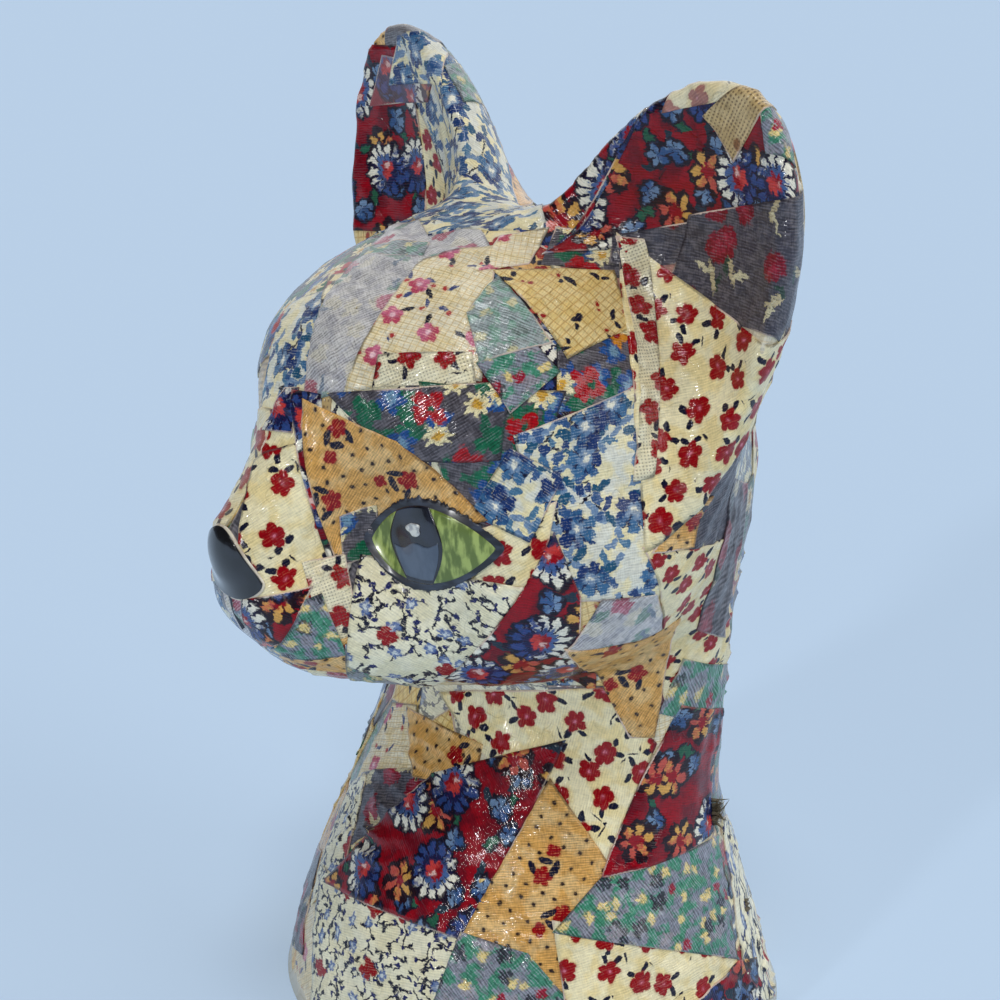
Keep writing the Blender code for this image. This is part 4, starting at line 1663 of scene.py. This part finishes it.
@dataclass(frozen=True)
class Enamel:
    """A glossy brushed paint: two colours mixed by noise drawn out along the brush.

    streaks is how many there are in a metre, draw how far they are drawn out along the
    chart's two directions, and gloss the roughness, the varnish and its own roughness.
    """

    name: str
    colour: Colour
    second: Colour
    streaks: float
    draw: Pair = (1.0, 1.0)
    gloss: tuple[float, float, float] = (0.22, 0.9, 0.06)

    def build(self) -> bpy.types.Material:
        """Makes the material."""
        graph = Graph(self.name)
        at = graph.chart("paint")
        drawn = graph.noise(graph.place(at, size=self.draw), self.streaks, 4)
        graph.dress("Base Color", graph.blend(
            graph.fade(drawn, 0.40, 0.64), self.colour, self.second))
        ridges = graph.noise(at, self.streaks * 0.8, 3)
        graph.dress("Normal", graph.bump(ridges, 0.25, 0.00008))
        graph.finish(*self.gloss)
        return graph.material


CHARCOAL_LINER = Enamel(
    "charcoal_liner", dye(24, 26, 36), dye(58, 66, 82), 520, (3.0, 1.0), (0.4, 0.4, 0.16))
GREEN_IRIS = Enamel(
    "green_iris", dye(98, 118, 48), dye(168, 186, 100), 560, (0.7, 2.2), (0.3, 0.4, 0.12))
BLACK_PUPIL = Enamel("black_pupil", dye(12, 12, 22), dye(30, 34, 50), 300)
# The pupil's slate lower part: a painted reflection.
PUPIL_REFLECTION = Enamel("pupil_painted_reflection", dye(66, 80, 100), dye(84, 98, 118), 300, (1.0, 2.0))
# The white glint in the pupil: a painted highlight of a window's reflection.
PAINTED_GLINT = Enamel("painted_glint", dye(226, 228, 222), dye(168, 172, 176), 900)
GLOSSY_NOSE = Enamel("glossy_nose", dye(14, 14, 18), dye(26, 28, 36), 300)
CREAM_RIM = Enamel("cream_rim", dye(232, 222, 200), dye(206, 190, 168), 500)
LOOSE_THREAD = Enamel(
    "loose_thread", dye(66, 58, 40), dye(120, 108, 80), 6, gloss=(0.55, 0.2, 0.3))


@dataclass
class Paintwork:
    """The painted eyes, nose and lip line, in millimetres on the form, with a painted reflection
    and a painted highlight in each pupil.

    A coat's dome falls off to nothing at crown from its middle. The cloth under a coat
    counts by mix: its own layers there, and the number usual about the eye or the nose.
    """

    form: CatForm
    buildup: Buildup
    eye_at: Place = (24.3, -28.8, 94.7)
    eye_turn: float = 14.0
    inner: Pair = (-11.8, -0.9)
    outer: Pair = (9.4, 0.0)
    lids: Pair = (6.1, -5.9)
    liner: float = 1.0
    pupil_at: float = -3.4
    pupil_half: float = 4.9
    glint_at: Pair = (-3.4, 2.0)
    nose_at: Place = (0.0, -51.3, 89.5)
    nose_half: float = 7.4
    nose_ends: Pair = (-5.6, 5.8)
    nose_widest: float = 0.27
    crown: Pair = (12.0, 7.0)
    mix: Pair = (0.2, 0.8)
    coat_depth: float = 0.0006

    def lid(self, share: Array, upper: bool, margin: float = 0.0) -> tuple[Array, Array]:
        """Draws a lid: a chord between the corners, plus a bow fuller towards the nose.

        Args:
            share: How far along, from the inner corner to the outer.
            upper: Whether it is the upper lid.
            margin: How far outside the lid the line runs.

        Returns:
            Flat places along the lid.
        """
        bow = self.lids[0] if upper else self.lids[1]
        sign = 1.0 if upper else -1.0
        full = (1 - np.abs(2 * share**0.86 - 1) ** 1.9) ** 0.86
        across = self.inner[0] + (self.outer[0] - self.inner[0]) * share
        across = across + margin * 1.1 * (2 * share - 1) * np.abs(2 * share - 1) ** 3
        along = self.inner[1] + (self.outer[1] - self.inner[1]) * share
        return across, along + bow * full + sign * margin * (0.12 + 0.88 * full**0.5)

    def almond(self, margin: float, fringe: float, count: tuple[int, int]) -> Array:
        """Fills the eye between its lids, as a flat grid.

        Args:
            margin: How far the grid reaches outside the lids.
            fringe: How ragged the brush left its border.
            count: Points across and up.

        Returns:
            Flat places, row by column.
        """
        share = (1 - np.cos(np.linspace(0, math.pi, count[0]))) / 2
        ragged = np.random.default_rng(7).normal(0, 1, (2, count[0]))
        ragged = fringe * (0.7 * ragged + 0.3 * np.roll(ragged, 1, axis=1))
        low = np.stack(self.lid(share, False, margin), axis=-1)
        top = np.stack(self.lid(share, True, margin), axis=-1)
        low[:, 1] -= np.abs(ragged[0]) * 0.4 * np.sin(math.pi * share)
        top[:, 1] += np.abs(ragged[1]) * np.sin(math.pi * share)
        up = np.linspace(0, 1, count[1])[:, None, None]
        return low * (1 - up) + top * up

    def pupil(self, count: tuple[int, int], size: float = 1.0, top: float = 1.0) -> Array:
        """Fills the pupil: an oval that the two lids cut off.

        Where it isn't filled to the top, its upper edge slopes and waves a little.

        Args:
            count: Points across and up.
            size: How much of its width is filled.
            top: How much of its height is filled, from the lower lid.

        Returns:
            Flat places, row by column.
        """
        across = np.linspace(-size, size, count[0])
        up = (1 - size) / 2 + np.linspace(0, 1, count[1])[:, None] * (
            top - (1 - size) + (0.07 * across + 0.03 * np.cos(6 * across)) * (top < 1))
        wide = self.pupil_half * (0.30 + 0.70 * np.sin(math.pi * (0.06 + 0.80 * up)))
        x = self.pupil_at + (0.5 - up) + across * wide
        share = (x - self.inner[0]) / (self.outer[0] - self.inner[0])
        lower, upper = self.lid(share, False)[1], self.lid(share, True)[1]
        return np.stack([x, lower * (1 - up) + upper * up], axis=-1)

    def blob(self, at: Pair, half: Pair, seed: int) -> Array:
        """Fills a dab of paint: a ring grid whose radius wanders by three waves.

        Args:
            at: The dab's middle.
            half: Its half sizes.
            seed: What sets its waves.

        Returns:
            Flat places, row by column.
        """
        random = np.random.default_rng(seed)
        turn = np.linspace(0, 2 * math.pi, 41)
        radius = 1 + sum(random.uniform(0.05, 0.16) * np.cos(k * turn + random.uniform(0, 6))
                         for k in (2, 3, 5))
        ring = np.linspace(0.02, 1, 8)[:, None]
        x = at[0] + half[0] * ring * radius * np.cos(turn)
        y = at[1] + half[1] * ring * radius * np.sin(turn)
        return np.stack([x, y], axis=-1)[:, ::-1]

    def nose(self, margin: float, count: tuple[int, int]) -> Array:
        """Fills the nose: a drop with its point up, whose sides close in as a square root.

        Args:
            margin: How far the grid reaches outside the nose.
            count: Points across and up.

        Returns:
            Flat places, row by column.
        """
        up = (1 - np.cos(np.linspace(0, math.pi, count[1]))) / 2
        below = np.sqrt(np.maximum(1 - ((self.nose_widest - up) / self.nose_widest) ** 2, 0))
        run = np.clip((up - self.nose_widest) / (1 - self.nose_widest), 0, 1)
        above = np.sqrt(1 - run)
        half = self.nose_half * np.where(up < self.nose_widest, below, above) + margin
        tall = self.nose_ends[0] - margin + (
            self.nose_ends[1] - self.nose_ends[0] + 2 * margin) * up
        across = np.linspace(-1, 1, count[0])
        return np.stack([across * half[:, None], np.broadcast_to(tall[:, None], (
            count[1], count[0]))], axis=-1)

    def brush(self, name: str, flat: Array, at: Place, turn: float,
              height: float, dome: float, paint: bpy.types.Material,
              mirrored: bool = False) -> bpy.types.Object:
        """Lays a flat grid on the form as a coat of paint with a closed edge.

        A point's height is that of the cloth below it, evened out, plus the coat's own,
        plus a dome that falls off towards the border.

        Args:
            name: The piece's name.
            flat: Flat places in millimetres, row by column.
            at: The middle of the flat frame on the form.
            turn: The frame's turn to the left, in degrees.
            height: How far the coat stands above the cloth, in millimetres.
            dome: How much higher its middle is.
            paint: The finish's material.
            mirrored: Whether it is laid again on the cat's other side.

        Returns:
            The piece.
        """
        border, faces = grid_border(*flat.shape[:2]), coat_faces(*flat.shape[:2])
        flat = flat.reshape(-1, 2)
        middle, normal = self.form.settle(np.array([at]) * MM, 6)
        start, right, up = (np.repeat(row, len(flat), axis=0)
                            for row in (middle, *surface_axes(normal)))
        ground = self.form.walk(start, (right, up), turned(flat, turn) * MM, 10)
        ground, outward = self.form.settle(ground, 3)
        layers = self.mix[0] * self.buildup.layers(ground) + self.mix[1] * self.typical(at)
        wide, tall = np.clip(np.abs(flat) / np.array(self.crown), 0, 1).T
        bulge = (1 - wide**2) * (1 - tall**2)
        lift = CLOTH_THICKNESS * (1 + layers) - CLOTH_ROOM + (height + dome * bulge) * MM
        rim = ground[border] + outward[border] * (lift[border] - self.coat_depth)[:, None]
        verts = np.concatenate([ground + outward * lift[:, None], rim])
        chart = np.concatenate([flat, flat[border]]) * MM
        if mirrored:
            other = verts * np.array([-1.0, 1.0, 1.0])
            faces = np.concatenate([faces, faces[:, ::-1] + len(verts)])
            verts = np.concatenate([verts, other])
            chart = np.concatenate([chart, chart])
        piece = make_piece(name, verts, faces.tolist(), {"paint": chart}, {})
        piece.data.materials.append(paint)
        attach(piece, "root")
        return piece

    def typical(self, at: Place) -> float:
        """Gives the cloth's usual number of layers within a few millimetres of a place."""
        near = np.random.default_rng(2).normal(0, 3.0, (200, 3)) + np.array(at)
        return float(np.percentile(self.buildup.layers(self.form.settle(near * MM, 6)[0]), 70))

    def line(self, start: Pair, end: Pair, half: float) -> Array:
        """Fills a thin line that bends sideways by the square and narrows at its lower end."""
        down = np.linspace(0, 1, 17)[::-1, None]
        across = np.linspace(-1, 1, 5)[None, :]
        x = start[0] + (end[0] - start[0]) * down**2 + half * across * (1.1 - down)
        y = start[1] + (end[1] - start[1]) * down
        return np.stack(np.broadcast_arrays(x, y), axis=-1)

    def build(self) -> list[bpy.types.Object]:
        """Paints both eyes, the nose and the lip line."""
        charcoal = CHARCOAL_LINER.build()
        eye, nose = (self.eye_at, self.eye_turn), (self.nose_at, 0.0)
        coats = (
            ("eye_liner", self.almond(self.liner, 0.55, (121, 25)), eye, 0.06, 0.4, charcoal),
            ("eye_iris", self.almond(-0.15, 0.0, (73, 25)), eye, 0.22, 0.4, GREEN_IRIS.build()),
            ("eye_pupil", self.pupil((33, 33)), eye, 0.32, 0.4, BLACK_PUPIL.build()),
            # The slate sheen over the pupil's lower part is a painted reflection.
            ("eye_sheen", self.pupil((33, 25), 0.88, 0.56), eye, 0.42, 0.4, PUPIL_REFLECTION.build()),
            # The glint is a painted highlight of a window's reflection.
            ("eye_glint", self.blob(self.glint_at, (1.25, 0.95), 3), eye, 0.56, 0.4,
             PAINTED_GLINT.build()),
            ("nose_rim", self.nose(0.3, (33, 33)), nose, 0.0, 0.0, CREAM_RIM.build()),
            ("nose_tip", self.nose(0.0, (41, 41)), nose, 0.1, 0.1, GLOSSY_NOSE.build()),
            ("lip_line", self.line((0.0, -5.4), (0.6, -11.5), 0.2), nose, 0.06, 0.06, charcoal),
        )
        return [self.brush(name, flat, *where, height, dome, paint, where is eye)
                for name, flat, where, height, dome, paint in coats]


@dataclass
class FrayedTufts:
    """Threads that came loose from a scrap's edge and stand stiff in the varnish.

    Each tuft has its root on the form and its usual reach, both in millimetres, and its
    number of threads. half is a thread's radius at its root, in metres.
    """

    form: CatForm
    roots: tuple[Place, ...] = ((33, 24.5, 38), (34, 31, 19.5))
    reach: Pair = (1.7, 0.6)
    threads: tuple[int, int] = (26, 5)
    half: float = 0.00032
    rings: int = 9
    sides: int = 6
    seed: int = 4

    def thread(self, root: tuple[Array, Array], reach: float,
               random: np.random.Generator) -> tuple[Array, Array]:
        """Draws a thread: a tapered tube along a path that bends by the distance squared.

        The path leaves its root along the normal and bends over to a side of its own.

        Args:
            root: The tuft's root on the form, and the normal there.
            reach: The tuft's usual reach, in millimetres.
            random: Draws the thread's length, lean, foot and thickness.

        Returns:
            The tube's points, ring by ring and then its tip, and their chart.
        """
        middle, normal = root
        right, up = surface_axes(normal)
        length = reach * MM * random.uniform(0.5, 1.25)
        lean = random.normal(0, 0.75, 2)
        foot = middle + (right * random.normal(0, 0.3) + up * random.normal(0, 0.9)) * MM
        along = np.linspace(-0.25, 1, self.rings)[:, None]
        path = foot + normal * along * length + (
            right * lean[0] + up * (lean[1] + 0.3)) * length * along * np.abs(along)
        turn = np.linspace(0, 2 * math.pi, self.sides, endpoint=False)
        thick = self.half * (1.15 - np.clip(along, 0, 1)) * random.uniform(0.6, 1.3)
        tube = path[:, None] + thick[:, None] * (
            np.cos(turn)[:, None] * right + np.sin(turn)[:, None] * up)
        points = np.concatenate([tube.reshape(-1, 3), path[-1:] + normal * thick[-1]])
        chart = np.stack([np.tile(turn, self.rings), np.repeat(along.ravel(), self.sides)], axis=-1)
        return points, np.concatenate([chart, [[0.0, 1.0]]])

    def thread_faces(self) -> list[list[int]]:
        """Numbers a thread's faces: its sides, the end at its root and the cone at its tip."""
        ring = np.arange(self.rings * self.sides).reshape(self.rings, self.sides)
        after = np.roll(ring, -1, axis=1)
        sides = np.stack([ring[:-1], after[:-1], after[1:], ring[1:]], axis=-1).reshape(-1, 4)
        cone = np.stack([ring[-1], after[-1], np.full(self.sides, ring.size)], axis=-1)
        return [*sides.tolist(), ring[0, ::-1].tolist(), *cone.tolist()]

    def build(self) -> bpy.types.Object:
        """Makes both tufts as one piece."""
        random = np.random.default_rng(self.seed)
        drawn = []
        for place, reach, count in zip(self.roots, self.reach, self.threads):
            root = self.form.settle(np.array([place]) * MM, 6)
            drawn += [self.thread(root, reach, random) for _ in range(count)]
        points, charts = (np.concatenate(parts) for parts in zip(*drawn))
        each = len(drawn[0][0])
        faces = [[corner + each * number for corner in face]
                 for number in range(len(drawn)) for face in self.thread_faces()]
        piece = make_piece("frayed_tufts", points, faces, {"paint": charts}, {})
        piece.data.materials.append(LOOSE_THREAD.build())
        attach(piece, "root")
        return piece


def direction(azimuth: float, elevation: float) -> Vector:
    """Points from the bust to an azimuth, in degrees from its front, and an elevation."""
    turn, rise = math.radians(azimuth), math.radians(elevation)
    return Vector((math.sin(turn) * math.cos(rise), -math.cos(turn) * math.cos(rise),
                   math.sin(rise)))


@dataclass
class Studio:
    """A plain pale floor, soft even light and the camera."""

    azimuth: float = 52.0
    elevation: float = 19.5
    target: Place = (-0.003, 0.0045, 0.0868)
    distance: float = 0.375
    lens: float = 82.6
    floor_half: float = 4.0
    floor_drop: float = 0.0002

    def camera(self) -> None:
        """Looks at the target from the azimuth and the elevation."""
        away = direction(self.azimuth, self.elevation)
        lens = bpy.data.cameras.new("camera")
        lens.lens = self.lens
        lens.sensor_width = 36.0
        lens.clip_end = 50.0
        camera = put_in_scene("camera", lens)
        camera.location = Vector(self.target) + away * self.distance
        camera.rotation_euler = away.to_track_quat("Z", "Y").to_euler()
        bpy.context.scene.camera = camera

    def sun(self, name: str, azimuth: float, elevation: float, strength: float,
            spread: float) -> None:
        """Adds an even light from one side.

        Args:
            name: The light's name.
            azimuth: Which side it comes from, in degrees from the front.
            elevation: How high it stands, in degrees.
            strength: How bright it is.
            spread: How wide it looks, in degrees.
        """
        light = bpy.data.lights.new(name, "SUN")
        light.energy = strength
        light.angle = math.radians(spread)
        lamp = put_in_scene(name, light)
        away = direction(azimuth, elevation)
        lamp.rotation_euler = away.to_track_quat("Z", "Y").to_euler()
        lamp.location = away * 2.0

    def floor(self) -> None:
        """Lays the floor: a grid that stays flat, a little lower than the bust's base."""
        share = np.linspace(-self.floor_half, self.floor_half, 9)
        y, x = np.meshgrid(share, share, indexing="ij")
        verts = np.stack([x, y, np.full_like(x, -self.floor_drop)], axis=-1).reshape(-1, 3)
        floor = make_piece("floor", verts, grid_faces(9, 9).tolist(), {}, {})
        graph = Graph("pale_floor")
        graph.dress("Base Color", dye(150, 168, 187))
        graph.finish(0.9, 0.0, 0.5, 0.0)
        graph.dress("Emission Color", dye(190, 211, 234))
        graph.dress("Emission Strength", 0.46)
        floor.data.materials.append(graph.material)

    def sky(self) -> None:
        """Makes a sky whose strength grows by the cosine from the direction behind the bust.

        It is bright there and dim before the bust, so that the varnish stays clear.
        """
        world = bpy.data.worlds.new("studio")
        world.use_nodes = True
        tree = world.node_tree
        sky = tree.nodes["Background"]
        sky.inputs["Color"].default_value = (0.93, 0.96, 1.0, 1.0)
        look = tree.nodes.new("ShaderNodeTexCoord")
        facing = tree.nodes.new("ShaderNodeVectorMath")
        facing.operation = "DOT_PRODUCT"
        facing.inputs[1].default_value = (-0.42, 0.89, 0.17)
        strength = tree.nodes.new("ShaderNodeMapRange")
        for socket, value in (("From Min", 0.15), ("From Max", 0.70), ("To Min", 0.04),
                              ("To Max", 1.1)):
            strength.inputs[socket].default_value = value
        tree.links.new(look.outputs["Generated"], facing.inputs[0])
        tree.links.new(facing.outputs["Value"], strength.inputs["Value"])
        tree.links.new(strength.outputs["Result"], sky.inputs["Strength"])
        bpy.context.scene.world = world

    def build(self) -> None:
        """Sets up the floor, the lights, the sky and the camera."""
        self.floor()
        self.sun("overhead", 50.0, 68.0, 1.0, 16.0)
        self.sun("front", 14.0, 18.0, 0.85, 5.0)
        self.sun("side", 112.0, 24.0, 0.75, 30.0)
        self.sky()
        bpy.context.scene.view_settings.view_transform = "Standard"
        self.camera()


def main() -> None:
    """Builds the bust from the casting outwards and reports each piece."""
    logging.basicConfig(level=logging.INFO, format="%(name)s: %(message)s")
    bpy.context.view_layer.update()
    Studio().build()
    form = CatForm()
    casting = Casting(form).build()
    LOG.info("casting: %d faces", len(casting.data.polygons))
    pieces, buildup = Patchwork(form, CHOSEN).build(casting)
    pieces += Paintwork(form, buildup).build()
    pieces.append(FrayedTufts(form).build())
    for piece in pieces:
        LOG.info("%s: %d faces", piece.name, len(piece.data.polygons))


if __name__ == "__main__":
    main()
